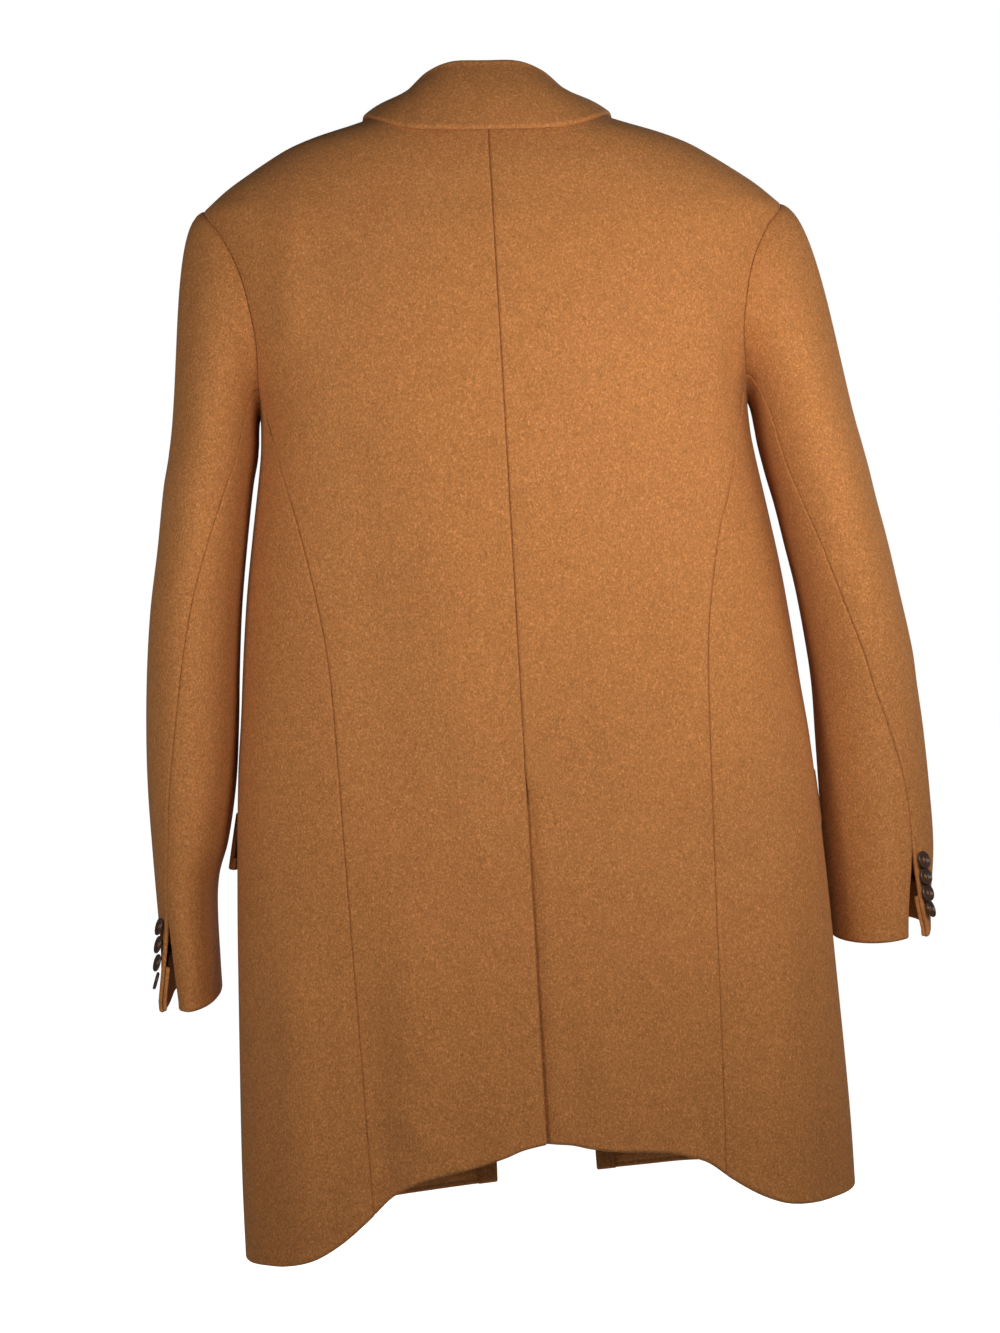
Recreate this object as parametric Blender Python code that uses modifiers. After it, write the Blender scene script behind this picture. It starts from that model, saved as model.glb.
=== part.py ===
"""A man's wool overcoat that hangs open and hollow, modelled from the pieces its maker cuts.

The coat is upright with its back towards -Y and its front towards +Y. The wearer's right is +X.
The origin is the middle of the neck seam, and every size in this file is in millimetres until MM.
Turns run round the body in degrees: 0 is the centre back, 90 a side, 180 the centre front. On a
sleeve, 0 faces back, 90 outwards, 180 forwards and 270 towards the body.
"""

import math
from collections import namedtuple

import bmesh
import bpy
from mathutils import Matrix, Vector

MM = 0.001

# ---- Driving sizes ----
WALL = 2.4  # thickness of the coating cloth
SEAM = 0.55  # gap between two walls along a seam, at the middle of their thickness; 0.3 at its narrowest
RIDGE_GAP = 0.65  # gap along the shoulder seam, where both walls lean together
LAYER = WALL + 0.45  # from the middle of one layer of cloth to the middle of the next
TIP_HEIGHT = -87.5  # height of the shoulder tips
TIP_HALF = 240.0  # their distance from the centre
NECK_HALF = 74.0  # half width of the neck seam
NECK_HEIGHT = -3.0  # height of the neck seam at the sides
NECK_SPREAD = 2.7  # how much narrower the body gets above the neck seam, for each millimetre up
YOKE_HEIGHT = -240.0  # where the side-back seam meets the armhole
ARMHOLE_MIDDLE = -171.3  # height of the armhole's middle
ARMHOLE_HALF_HEIGHT = 83.8
ARMHOLE_BACK_REACH = 60.0
ARMHOLE_FRONT_REACH = 64.0
ARMHOLE_BACK_NOTCH = -55.0  # sleeve turn at which the side-back seam meets the armhole
ARMHOLE_FRONT_NOTCH = -130.0  # sleeve turn at which the front seam meets the armhole
SEAM_BEND = -270.0  # above this height the two long seams bend into the armhole
VENT_TOP = -578.0
VENT_SLANT = 13.0  # how much lower the vent's stitching ends on its far side
VENT_WIDTH = 45.0
VENT_LEVEL_ROWS = 10  # rows of the underlap that stay level above the hem
VENT_UNDER = LAYER + 0.35  # how deep the right back lies under the left one
VENT_DROP_LENGTH = 22.0  # height over which it dips in
VENT_DROP_REACH = 9.0  # width over which it dips in
VENT_LIFT = 1.5  # how far the left back's edge opens
VENT_LIFT_START = 60.0  # below the vent's top
VENT_LIFT_LENGTH = 200.0
BREAK_HEIGHT = -400.0  # where the lapel starts to turn back
BREAK_X = 36.0
FRONT_HEM_HEIGHT = -915.0
HEM_EDGE_X = 44.5  # front edge at the hem
CAP_HEIGHT = -171.0  # height at which the sleeve's tables start, inside the armhole
CAP_DROOP = 0.08  # how far the cloth leaves the armhole downwards, for each millimetre out
CAP_LEAVE = (1, -0.25, -0.1)  # its way out over the cap; the middle value turns with the sleeve
CAP_LEAVE_SHARE = 0.4  # how strongly, as a share of its length
CAP_LEAVE_LEAST = 5.0
CAP_ARRIVE_STEP = 40.0  # height below the first ring that gives the way in
ARMHOLE_GAP = 0.6  # between the body's edge and the sleeve's
ARMHOLE_LEAN_GAP = 1.5  # more of it where the two lie in line
SLEEVE_TOP = -282.0  # height of the first whole ring of the sleeve
CUFF_HEIGHT = -722.0
CUFF_SLOPE = 0.15  # the cuff is lower at its back than at its front
CUFF_VENT_TOP = -648.0
CUFF_FLARE = 15.0  # how far the top sleeve's corner stands off at the cuff's vent
CUFF_FLARE_WAY = (0.9, -0.25, 0)
CUFF_FLARE_STEPS = 3.2  # the flare ends at one part in this many of the top sleeve's width
CUFF_TUCK = 1.2  # how far the under sleeve's corner sinks there
CUFF_TUCK_START = 0.8  # share of the under sleeve's width
LEAN_TOP = -0.044  # the shoulder line is higher on the wearer's left, and the hem is lower there
LEAN_BOTTOM = 0.064
LEAN_BOTTOM_HEIGHT = -940.0

CAMEL = (0.42, 0.22, 0.10, 1.0)
CAMEL_ROUGHNESS = 0.95
HORN = (0.02, 0.012, 0.008, 1.0)
HORN_ROUGHNESS = 0.25


class Table:
    """Rows under named columns, read along a smooth curve through the rows."""

    def __init__(self, columns, *rows):
        self.names = columns.split()
        self.rows = sorted(rows)

    def read(self, name, at):
        column = self.names.index(name)
        keys = [row[0] for row in self.rows]
        values = [row[column] for row in self.rows]
        if at <= keys[0]:
            return values[0]
        if at >= keys[-1]:
            return values[-1]
        low = max(i for i, key in enumerate(keys) if key <= at)
        span = keys[low + 1] - keys[low]
        part = (at - keys[low]) / span
        start = slope(keys, values, low) * span
        end = slope(keys, values, low + 1) * span
        return hermite(values[low], start, values[low + 1], end, part)


def slope(keys, values, i):
    before = max(i - 1, 0)
    after = min(i + 1, len(keys) - 1)
    return (values[after] - values[before]) / (keys[after] - keys[before])


def hermite(start, start_slope, end, end_slope, t):
    return (
        start * (2 * t**3 - 3 * t**2 + 1)
        + start_slope * (t**3 - 2 * t**2 + t)
        + end * (3 * t**2 - 2 * t**3)
        + end_slope * (t**3 - t**2)
    )


# Height of the shoulder line at a distance from the centre.
SHOULDER = Table(
    "x height",
    (74, -3), (100, -13.3), (120, -20), (135, -24.5), (150, -29.5), (170, -38),
    (190, -50), (203, -58.5), (217, -68), (226, -75), (TIP_HALF, TIP_HEIGHT),
)

# The body's level sections. Above the shoulder tips the half width follows the shoulder line.
BODY = Table(
    "height half_width back_depth front_depth roundness",
    (-950, 256, 118, 116, 2.35),
    (-870, 255, 118, 115, 2.35),
    (-750, 250.5, 115, 115, 2.3),
    (-650, 246, 110, 116, 2.3),
    (-550, 239.5, 108, 119, 2.3),
    (-500, 234, 108, 122, 2.3),
    (-450, 229, 110, 126, 2.3),
    (-400, 223, 113, 128, 2.3),
    (-350, 215, 116, 130, 2.3),
    (-300, 206.5, 119, 131, 2.35),
    (-280, 204, 120, 131, 2.4),
    (-250, 203.5, 120, 130, 2.4),
    (-230, 209, 120, 129, 2.4),
    (-200, 217, 118, 127, 2.4),
    (-170, 226, 115, 122, 2.4),
    (-140, 233, 109, 115, 2.4),
    (-110, 238, 102, 106, 2.4),
    (TIP_HEIGHT, 240, 94, 97, 2.3),
    (-60, 205, 85, 82, 2.3),
    (-38, 170, 75, 67, 2.3),
    (-20, 120, 65, 51, 2.2),
    (-10, 91, 56, 41, 2.2),
    (0, 66, 46, 30, 2.2),
)

# Distance of the two long seams from the centre, on the back and on the front.
SEAMS = Table(
    "height back front",
    (-940, 143, 231), (-900, 144, 230), (-800, 146.5, 227), (-700, 148.5, 223), (-600, 151, 217),
    (-500, 153.5, 209), (-450, 156.5, 203), (-400, 164, 197), (-350, 174, 192), (-300, 186.5, 190),
    (SEAM_BEND, 193, 194),
)

# The hem is highest at the centre back and hangs down to the sides.
BACK_HEM = Table(
    "x height",
    (0, -858), (20, -861), (35, -865.5), (60, -871), (100, -877), (112, -881), (130, -889),
    (150, -906), (170, -921), (190, -932), (205, -936), (222, -938),
)
SIDE_HEM = Table(
    "turn height",
    (60, -938), (90, -936), (120, -928), (150, -917), (180, FRONT_HEM_HEIGHT),
)
BACK_HEM_LEVEL = -920.0  # height of the section on which the back hem's distances are read
FRONT_HEM_LEVEL = -925.0
HEM_JOIN_TURN = 62.0  # past this turn the hem follows the side's table

# Soft folds of the cloth: a ridge or hollow runs from its top to its bottom, on the back or the front.
Fold = namedtuple("Fold", "name face top_x top_z bottom_x bottom_z width rise")
FOLD_ROWS = (
    ("left blade", "back", -163, -70, -170, -190, 16, 3.5),
    ("right blade", "back", 166, -120, 176, -340, 15, 4.0),
    ("left back hollow", "back", -128, -230, -112, -560, 26, -3.5),
    ("right back hollow", "back", 120, -260, 108, -600, 26, -3.0),
    ("left waist roll", "back", -60, -330, -40, -620, 24, 2.5),
    ("left hem wave", "back", -104, -620, -96, -960, 22, 5.0),
    ("left seam hollow", "back", -138, -690, -132, -960, 14, -4.0),
    ("left vent wave", "back", -36, -760, -30, -960, 14, 3.0),
    ("right vent wave", "back", 44, -700, 50, -960, 18, 4.0),
    ("right hem wave", "back", 118, -640, 112, -960, 22, 4.5),
    ("left side wave", "back", -196, -640, -200, -960, 20, 5.0),
    ("right side wave", "back", 198, -620, 204, -960, 20, 4.0),
    ("left front fold", "front", -120, -430, -140, -960, 24, 5.0),
    ("right front fold", "front", 132, -460, 120, -960, 24, 4.5),
    ("left chest fold", "front", -150, -200, -130, -400, 20, 3.5),
    ("right chest fold", "front", 152, -220, 140, -420, 20, 3.5),
)
FOLDS = [Fold(*row) for row in FOLD_ROWS]
FOLD_RUN_IN = 0.35  # share of its length over which a fold rises
FOLD_RUN_OUT = 0.15  # share of its length over which it fades past its bottom
FOLD_HEM_LEVEL = -900.0  # a fold whose bottom is below this runs on into the hem

# The sleeves' level sections. The elbow column is the turn of the back seam.
SLEEVE_COLUMNS = "height inner outer forward half_depth elbow"
SLEEVES = {
    "left": Table(
        SLEEVE_COLUMNS,
        (-725, 267.5, 312, 28, 62.5, 31),
        (-700, 267.5, 313, 25, 63, 31),
        (-650, 266.5, 314.5, 18, 64, 30),
        (-625, 263, 315, 14, 65, 28),
        (-600, 254, 315.5, 11, 66, 26),
        (-553, 244, 315.9, 6, 67.5, 22),
        (-506, 238.5, 314, 1, 68.6, 14),
        (-457, 234.5, 310, -3, 71, 6),
        (-408, 229.5, 303.9, -5, 73, -3),
        (-360, 222.5, 295, -6, 75, -16),
        (-311, 214.5, 287.2, -4, 76, -34),
        (SLEEVE_TOP, 208.5, 281, -2, 75, -42),
        (CAP_HEIGHT, 205, 265, 0, 62, -50),
    ),
    "right": Table(
        SLEEVE_COLUMNS,
        (-725, 252, 334, 32, 53.5, 33),
        (-700, 251.5, 336, 30, 54, 32),
        (-653, 250, 341, 27, 55, 31),
        (-600, 249, 340, 24, 59, 28),
        (-548, 248, 337, 19, 63, 15),
        (-508, 247, 333, 12, 66, 2),
        (-478, 244.5, 330, 6, 69, -5),
        (-421, 237, 320, -2, 72, -19),
        (-381, 229.5, 313, -4, 74, -27),
        (-346, 223, 306, -4, 76, -36),
        (-315, 216, 300.5, -3, 77, -42),
        (SLEEVE_TOP, 210.5, 293.5, -2, 76, -45),
        (CAP_HEIGHT, 205, 268, 0, 62, -50),
    ),
}
INSEAM_TURN = 226.0
INSEAM_RADIUS = 55.0  # turns the seam's gap into degrees at the inseam

# The collar's sections from the centre back round to the front: the top of its fold and the edge
# of its fall. The neck column is the height of the neck seam once it runs down the front.
COLLAR = Table(
    "place fold_x fold_y fold_z edge_x edge_y edge_z neck",
    (0.00, 0, -50.5, 28.5, 0, -85, -31, 0),
    (0.20, 27, -46.5, 28.5, 38, -80, -30, 0),
    (0.38, 46, -36, 22.5, 68, -68, -26, 0),
    (0.50, 59, -19, 14, 90, -48, -17, 0),
    (0.60, 66, 0, 9, 102, -8, -8.5, NECK_HEIGHT),
    (0.75, 66, 33, -1, 106, 33, -14, -16),
    (0.90, 68, 75, -35, 110, 72, -41, -46),
    (1.00, 68, 95, -63, 110, 92, -70, -72),
)
COLLAR_SIDE = 0.6  # place along the collar of the shoulder seam
COLLAR_STEPS = 15
COLLAR_LIFT = (0, 0, 2.3)  # from the neck seam's edge to the start of the stand
COLLAR_FRONT_SHIFT = (-3.4, 0.8, 0.6)  # added to it down the front
COLLAR_SHIFT_LENGTH = 0.12
STAND_SHARES = (0, 0.5)
FOLD_RADIUS = 3.2
FOLD_ANGLES = (180, 135, 90, 45, 0)
FALL_SHARES = (0.3, 0.65, 1.0)
FALL_BULGE = 3.0

# The lapel's free edge, from its tip down to the break.
LAPEL = Table(
    "height edge",
    (-94, 134), (-150, 124), (-230, 101), (-320, 68), (-370, 49), (BREAK_HEIGHT, 39),
)
LAPEL_TOP = -79.0  # height of the lapel's top edge at the roll line
LAPEL_TIP = -94.0  # and at its tip
LAPEL_START = 6.0  # above the break
LAPEL_INSET = 0.4  # from the roll line
LAPEL_LEAST_WIDTH = 3.0
LAPEL_ROLL = 4.5  # how far its middle stands off at the top
LAPEL_EDGE_LIFT = 1.2
LAPEL_COLUMNS = 4
LAPEL_STEPS = 12

FLAP_TOP = -577.0
FLAP_DEPTH = 46.0
FLAP_SLOPE = 5.0  # how much lower the flap's front end is
FLAP_TURNS = (94.0, 136.0)
FLAP_GAP = 0.3
FLAP_STAND_OFF = {-1: 6.5, 1: 0.8}  # how far each flap's lower edge stands off, by side
FLAP_COLUMNS = 7
FLAP_STEPS = 3

BUTTON_SIDES = 14
BUTTON_BACK_SHARE = 0.86  # of its radius
BUTTON_RIM_SHARE = 0.2  # of its radius
BUTTON_DISH_SHARE = 0.22  # of its thickness
CUFF_BUTTON = (15.0, 2.6)  # diameter and thickness
CUFF_BUTTON_COUNT = 4
CUFF_BUTTON_START = -706.0
CUFF_BUTTON_PITCH = 14.5
CUFF_BUTTON_OFF = 2.2
CUFF_BUTTON_TILT = 0.24
FRONT_BUTTON = (28.0, 4.0)
FRONT_BUTTON_HEIGHTS = (-415, -525, -635)
FRONT_BUTTON_INSET = 24.0  # from the front edge
FRONT_BUTTON_OFF = 0.6

EDGE_CROWDING = 0.085  # how much closer together the places lie at both ends of a spaced row
NORMAL_TURN_STEP = 0.6
NORMAL_HEIGHT_STEP = 2.0
SETTLING_ROUNDS = 3  # passes that settle a place whose height and distance depend on each other


# ---- Body surface ----

def half_width(height):
    """Half width of the body; above the shoulder tips it is read back from the shoulder line."""
    if height <= TIP_HEIGHT:
        return BODY.read("half_width", height)
    if height >= NECK_HEIGHT:
        return NECK_HALF - NECK_SPREAD * (height - NECK_HEIGHT)
    low, high = NECK_HALF, TIP_HALF
    for _ in range(40):
        middle = (low + high) / 2
        if SHOULDER.read("height", middle) > height:
            low = middle
        else:
            high = middle
    return (low + high) / 2


def bare_body(turn, height):
    """The body's surface before its folds."""
    width = half_width(height)
    power = 2 / BODY.read("roundness", height)
    across = math.sin(math.radians(turn))
    along = math.cos(math.radians(turn))
    depth = BODY.read("back_depth" if along > 0 else "front_depth", height)
    x = math.copysign(width * abs(across) ** power, across)
    y = -math.copysign(depth * abs(along) ** power, along)
    return Vector((x, y, height))


def body_normal(turn, height):
    """The way out of the body's surface."""
    round_way = bare_body(turn + NORMAL_TURN_STEP, height) - bare_body(turn - NORMAL_TURN_STEP, height)
    down_way = bare_body(turn, height - NORMAL_HEIGHT_STEP) - bare_body(turn, height + NORMAL_HEIGHT_STEP)
    return down_way.cross(round_way).normalized()


def clamped(share):
    return min(1.0, max(0.0, share))


def smooth(share):
    share = clamped(share)
    return share * share * (3 - 2 * share)


def fold_rise(x, height, is_back):
    """How far the soft folds lift the cloth at a place."""
    total = 0.0
    for fold in FOLDS:
        if (fold.face == "back") != is_back:
            continue
        part = (height - fold.top_z) / (fold.bottom_z - fold.top_z)
        if not 0 < part < 1 + FOLD_RUN_OUT:
            continue
        middle = fold.top_x + (fold.bottom_x - fold.top_x) * part
        at_hem = fold.bottom_z <= FOLD_HEM_LEVEL
        to_end = 1.0 if at_hem else (1 + FOLD_RUN_OUT - part) / FOLD_RUN_OUT
        fade = smooth(min(part / FOLD_RUN_IN, to_end))
        total += fold.rise * fade * math.exp(-(((x - middle) / fold.width) ** 2))
    return total


def body_point(turn, height, out=0.0):
    """A place on the body, moved out from the cloth's middle by out."""
    bare = bare_body(turn, height)
    is_back = math.cos(math.radians(turn)) > 0
    return bare + body_normal(turn, height) * (out + fold_rise(bare.x, height, is_back))


def turn_at(x, height, front=False):
    """The turn at which the body's section is x from the centre."""
    width = half_width(height)
    share = min(abs(x) / width, 0.999999)
    turn = math.degrees(math.asin(share ** (BODY.read("roundness", height) / 2)))
    turn = 180 - turn if front else turn
    return math.copysign(turn, x)


def armhole_place(turn):
    """Distance from the centre, depth and height of the armhole at a turn of the sleeve."""
    across = math.cos(math.radians(turn))
    reach = ARMHOLE_BACK_REACH if across > 0 else ARMHOLE_FRONT_REACH
    height = ARMHOLE_MIDDLE + ARMHOLE_HALF_HEIGHT * math.sin(math.radians(turn))
    depth = BODY.read("back_depth" if across > 0 else "front_depth", height)
    away = reach * across
    roundness = BODY.read("roundness", height)
    x = half_width(height) * (1 - min(1, abs(away) / depth) ** roundness) ** (1 / roundness)
    return x, away, height


def armhole_body_turn(turn):
    """Turn round the body, and height, of the armhole at a turn of the sleeve."""
    _, away, height = armhole_place(turn)
    depth = BODY.read("back_depth" if away > 0 else "front_depth", height)
    share = min(1, abs(away) / depth) ** (BODY.read("roundness", height) / 2)
    body_turn = math.degrees(math.acos(share))
    return (body_turn if away > 0 else 180 - body_turn), height


def settle(point):
    """The whole coat hangs a little unevenly: its left shoulder is higher and its left hem lower."""
    share = clamped((TIP_HEIGHT - point.z) / (TIP_HEIGHT - LEAN_BOTTOM_HEIGHT))
    lean = LEAN_TOP + (LEAN_BOTTOM - LEAN_TOP) * share
    return Vector((point.x, point.y, point.z + lean * point.x))


# ---- Making objects ----

def start_scene():
    for item in list(bpy.data.objects):
        bpy.data.objects.remove(item, do_unlink=True)
    coat = bpy.data.collections.new("overcoat")
    bpy.context.scene.collection.children.link(coat)
    return coat


def material(name, colour, roughness):
    made = bpy.data.materials.new(name)
    made.use_nodes = True
    shader = made.node_tree.nodes["Principled BSDF"]
    shader.inputs["Base Color"].default_value = colour
    shader.inputs["Roughness"].default_value = roughness
    return made


def cloth(coat, name, rows, outside, extra=None):
    """One piece of cloth from rows of places; outside is a place that its outer side faces.

    extra is a second grid, whose first column lies on the first column of rows.
    """
    mesh = bpy.data.meshes.new(name)
    work = bmesh.new()
    for grid in [rows] + ([extra] if extra else []):
        corners = [[work.verts.new(settle(point) * MM) for point in row] for row in grid]
        for upper, lower in zip(corners, corners[1:]):
            for i in range(len(upper) - 1):
                work.faces.new((upper[i], upper[i + 1], lower[i + 1], lower[i]))
    bmesh.ops.remove_doubles(work, verts=work.verts, dist=0.00001)
    bmesh.ops.recalc_face_normals(work, faces=work.faces)
    face_outwards(work, outside * MM)
    for face in work.faces:
        face.smooth = True
    work.to_mesh(mesh)
    work.free()
    piece = bpy.data.objects.new(name, mesh)
    coat.objects.link(piece)
    thickness = piece.modifiers.new("Wall", "SOLIDIFY")
    thickness.thickness = WALL * MM
    thickness.offset = 0.0
    thickness.use_even_offset = True
    mesh.materials.append(material(name, CAMEL, CAMEL_ROUGHNESS))
    return piece


def face_outwards(work, outside):
    """Turns the sheet over if more of it looks away from outside than towards it."""
    towards = sum(
        face.calc_area() * face.normal.dot((outside - face.calc_center_median()).normalized())
        for face in work.faces
    )
    if towards < 0:
        bmesh.ops.reverse_faces(work, faces=work.faces)


def mirrored(rows, side):
    return [[Vector((point.x * side, point.y, point.z)) for point in row] for row in rows]


def spread(start, end, count):
    return [start + (end - start) * i / count for i in range(count + 1)]


def crowded(count):
    """Shares from 0 to 1 that lie closer together at both ends, so that a seam's walls meet square."""
    return [share - EDGE_CROWDING * math.sin(2 * math.pi * share) for share in spread(0, 1, count)]


# ---- Body pieces ----
# Rows shared by the pieces that meet at a seam, as shares of the way from hem to armhole.
LOWER_ROWS = spread(0, 1, 17)
UPPER_ROWS = [(i / 11) ** 0.85 for i in range(12)]
CORNER_TURN = 0.25  # turn that keeps the corners of back, side and front apart at the armhole
NECK_COLUMNS = 4
SHOULDER_COLUMNS = 7


def side_name(side):
    return "right" if side > 0 else "left"


def front_hem(x):
    return SIDE_HEM.read("height", turn_at(max(x, BREAK_X), FRONT_HEM_LEVEL, True))


def long_seam_x(face, height):
    """Distance of a long seam from the centre; its last stretch bends into the armhole."""
    if height < SEAM_BEND:
        return SEAMS.read(face, height)
    corner_x, _, corner_z = armhole_place(ARMHOLE_BACK_NOTCH if face == "back" else ARMHOLE_FRONT_NOTCH)
    low = SEAMS.read(face, SEAM_BEND)
    return low + (corner_x - low) * min(1.0, (height - SEAM_BEND) / (corner_z - SEAM_BEND))


def neck_turn_height(turn):
    """Height of the back neck seam at a turn from the centre back."""
    return NECK_HEIGHT * math.sin(math.radians(turn)) ** 2


def shoulder_places():
    """The shoulder line's places from neck to tip: distance from the centre, and height."""
    xs = spread(NECK_HALF, TIP_HALF, SHOULDER_COLUMNS)
    return [(x, SHOULDER.read("height", x)) for x in xs]


def neck_places():
    """The back neck seam's places from the centre to the shoulder line, which is left out."""
    places = []
    for turn in spread(0, 90, NECK_COLUMNS)[:-1]:
        height = neck_turn_height(turn)
        places.append((bare_body(turn, height).x, height))
    return places


def upper_patch(top, edge, base_start, inner):
    """The stretch of a back or front above the yoke height.

    top is its upper boundary, edge the armhole's turns from bottom to top, base_start the x at
    which its lower boundary starts, and inner(share) the x and height of its inner boundary.
    """
    count = len(top) - 1
    corner_x, _, corner_z = armhole_place(edge(0))
    tip_x, tip_z = top[-1]
    rows = []
    for share in UPPER_ROWS:
        arm_x, _, arm_z = armhole_place(edge(share))
        in_x, in_z = inner(share)
        row = []
        for i, (top_x, top_z) in enumerate(top):
            part = i / count
            base_x = base_start + (corner_x - base_start) * part
            base_z = YOKE_HEIGHT + (corner_z - YOKE_HEIGHT) * part
            x = base_x * (1 - share) + top_x * share
            z = base_z * (1 - share) + top_z * share
            x += part * (arm_x - corner_x * (1 - share) - tip_x * share)
            z += part * (arm_z - corner_z * (1 - share) - tip_z * share)
            x += (1 - part) * (in_x - base_start * (1 - share) - top[0][0] * share)
            z += (1 - part) * (in_z - YOKE_HEIGHT * (1 - share) - top[0][1] * share)
            row.append((x, z))
        rows.append(row)
    return rows


def back_armhole_turn(share):
    """Sleeve turn along the back's armhole edge, from the side-back seam up to the shoulder."""
    return ARMHOLE_BACK_NOTCH + (90 - ARMHOLE_BACK_NOTCH) * share


def centre_place(share):
    """A place on the centre-back seam above the yoke."""
    return 0.0, YOKE_HEIGHT * (1 - share)


def back_rows(side):
    """The back from hem to shoulder, from the centre-back seam to the side-back seam."""
    columns = NECK_COLUMNS + SHOULDER_COLUMNS
    rows = []
    corner_x, _, corner_z = armhole_place(ARMHOLE_BACK_NOTCH)
    for share in LOWER_ROWS[:-1]:
        row = []
        for i in range(columns + 1):
            part = i / columns
            x = corner_x * part
            z = 0.0
            top_z = YOKE_HEIGHT + (corner_z - YOKE_HEIGHT) * part
            for _ in range(SETTLING_ROUNDS):
                z = BACK_HEM.read("height", x) * (1 - share) + top_z * share
                x = SEAM / 2 + (long_seam_x("back", z) - SEAM) * part
            row.append(body_point(turn_at(x * side, z), z))
        rows.append(row)
    top = neck_places() + shoulder_places()
    for share, row in zip(UPPER_ROWS, upper_patch(top, back_armhole_turn, 0.0, centre_place)):
        points = []
        for x, z in row:
            x = max(SEAM / 2, min(x, half_width(z)))
            points.append(body_point(turn_at(x * side, z), z))
        x, z = row[-1]
        points[-1] = body_point((turn_at(x, z) - CORNER_TURN * (1 - share) ** 4) * side, z)
        rows.append(points)
    for i in range(NECK_COLUMNS, columns + 1):
        rows[-1][i].y -= RIDGE_GAP / 2
    return rows


def dip_under(rows):
    """Dips the right back's edge in under the left one along the vent."""
    for row in rows:
        for i, point in enumerate(row):
            drop = clamped((VENT_TOP + VENT_DROP_LENGTH - point.z) / VENT_DROP_LENGTH)
            near = smooth((VENT_DROP_REACH - point.x) / VENT_DROP_REACH)
            if drop * near > 0:
                row[i] = body_point(turn_at(point.x, point.z), point.z, -VENT_UNDER * drop * near)


def underlap(rows):
    """The right back's cloth that goes on under the left one, below the vent's top."""
    under = []
    for row in rows:
        first = row[0]
        if first.z > VENT_TOP + 1:
            continue
        slant = VENT_SLANT / VENT_WIDTH if len(under) > VENT_LEVEL_ROWS else 0
        points = [first]
        for x in (-VENT_WIDTH * 0.2, -VENT_WIDTH * 0.6, -VENT_WIDTH):
            z = first.z + slant * x
            points.append(body_point(turn_at(x, z), z, -VENT_UNDER))
        under.append(points)
    return under


def back_piece(coat, side):
    rows = back_rows(side)
    extra = None
    if side > 0:
        dip_under(rows)
        extra = underlap(rows)
    else:
        for row in rows:
            row[0].y -= VENT_LIFT * clamped((VENT_TOP - VENT_LIFT_START - row[0].z) / VENT_LIFT_LENGTH)
    return cloth(coat, "back_" + side_name(side), rows, Vector((0, -3000, 0)), extra)


def side_rows():
    """The side body, from the side-back seam round the side to the front seam."""
    columns = 7
    rows = []
    tops = []
    for part in crowded(columns):
        sleeve_turn = ARMHOLE_BACK_NOTCH + (ARMHOLE_FRONT_NOTCH - ARMHOLE_BACK_NOTCH) * part
        top_turn, top_z = armhole_body_turn(sleeve_turn)
        tops.append((top_turn + CORNER_TURN * (1 - 2 * part), top_z))
    for share in LOWER_ROWS:
        row = []
        for part, (top_turn, top_z) in zip(crowded(columns), tops):
            turn, z = top_turn, top_z
            for _ in range(SETTLING_ROUNDS):
                z = hem_at(turn) * (1 - share) + top_z * share
                turn = side_turn(part, z)
            if share == 1:
                turn, z = top_turn, top_z
            row.append((turn, z))
        rows.append(row)
    return rows


def hem_at(turn):
    if turn < HEM_JOIN_TURN:
        return BACK_HEM.read("height", bare_body(turn, BACK_HEM_LEVEL).x)
    return SIDE_HEM.read("height", turn)


def side_turn(part, height):
    """The turn at a share of the way round the side body."""
    first = turn_at(long_seam_x("back", height) + SEAM / 2, height)
    last = turn_at(long_seam_x("front", height) + SEAM / 2, height, True)
    return first + (last - first) * part


def side_piece(coat, side):
    rows = [[body_point(turn * side, z) for turn, z in row] for row in side_rows()]
    return cloth(coat, "side_" + side_name(side), rows, Vector((3000 * side, 0, -600)))


def roll_x(height):
    """Distance of the lapel's roll line, or of the front edge below the break, from the centre."""
    if height > BREAK_HEIGHT:
        share = (height - BREAK_HEIGHT) / (NECK_HEIGHT - BREAK_HEIGHT)
        return BREAK_X + (NECK_HALF - BREAK_X) * share
    share = (BREAK_HEIGHT - height) / (BREAK_HEIGHT - FRONT_HEM_HEIGHT)
    return BREAK_X + (HEM_EDGE_X - BREAK_X) * share


def front_armhole_turn(share):
    """Sleeve turn along the front's armhole edge, from the front seam up to the shoulder."""
    return ARMHOLE_FRONT_NOTCH - (270 + ARMHOLE_FRONT_NOTCH) * share


def front_rows(side):
    """The front from hem to shoulder, from its edge or roll line to the front seam."""
    columns = SHOULDER_COLUMNS
    rows = []
    corner_x, _, corner_z = armhole_place(ARMHOLE_FRONT_NOTCH)
    for share in LOWER_ROWS[:-1]:
        row = []
        for i in range(columns + 1):
            part = i / columns
            x = corner_x * part
            z = 0.0
            top_z = YOKE_HEIGHT + (corner_z - YOKE_HEIGHT) * part
            for _ in range(SETTLING_ROUNDS):
                z = front_hem(x) * (1 - share) + top_z * share
                start_x = roll_x(z)
                x = start_x + (long_seam_x("front", z) - SEAM / 2 - start_x) * part
            row.append(body_point(turn_at(x * side, z, True), z))
        rows.append(row)
    top = shoulder_places()
    patch = upper_patch(top, front_armhole_turn, roll_x(YOKE_HEIGHT), roll_place)
    for share, row in zip(UPPER_ROWS, patch):
        points = []
        for x, z in row:
            x = min(x, half_width(z))
            points.append(body_point(turn_at(x * side, z, True), z))
        x, z = row[-1]
        points[-1] = body_point((turn_at(x, z, True) + CORNER_TURN * (1 - share) ** 4) * side, z)
        rows.append(points)
    for point in rows[-1]:
        point.y += RIDGE_GAP / 2
    return rows


def roll_place(share):
    """A place on the roll line above the yoke."""
    height = YOKE_HEIGHT + (NECK_HEIGHT - YOKE_HEIGHT) * share
    return roll_x(height), height


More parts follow.
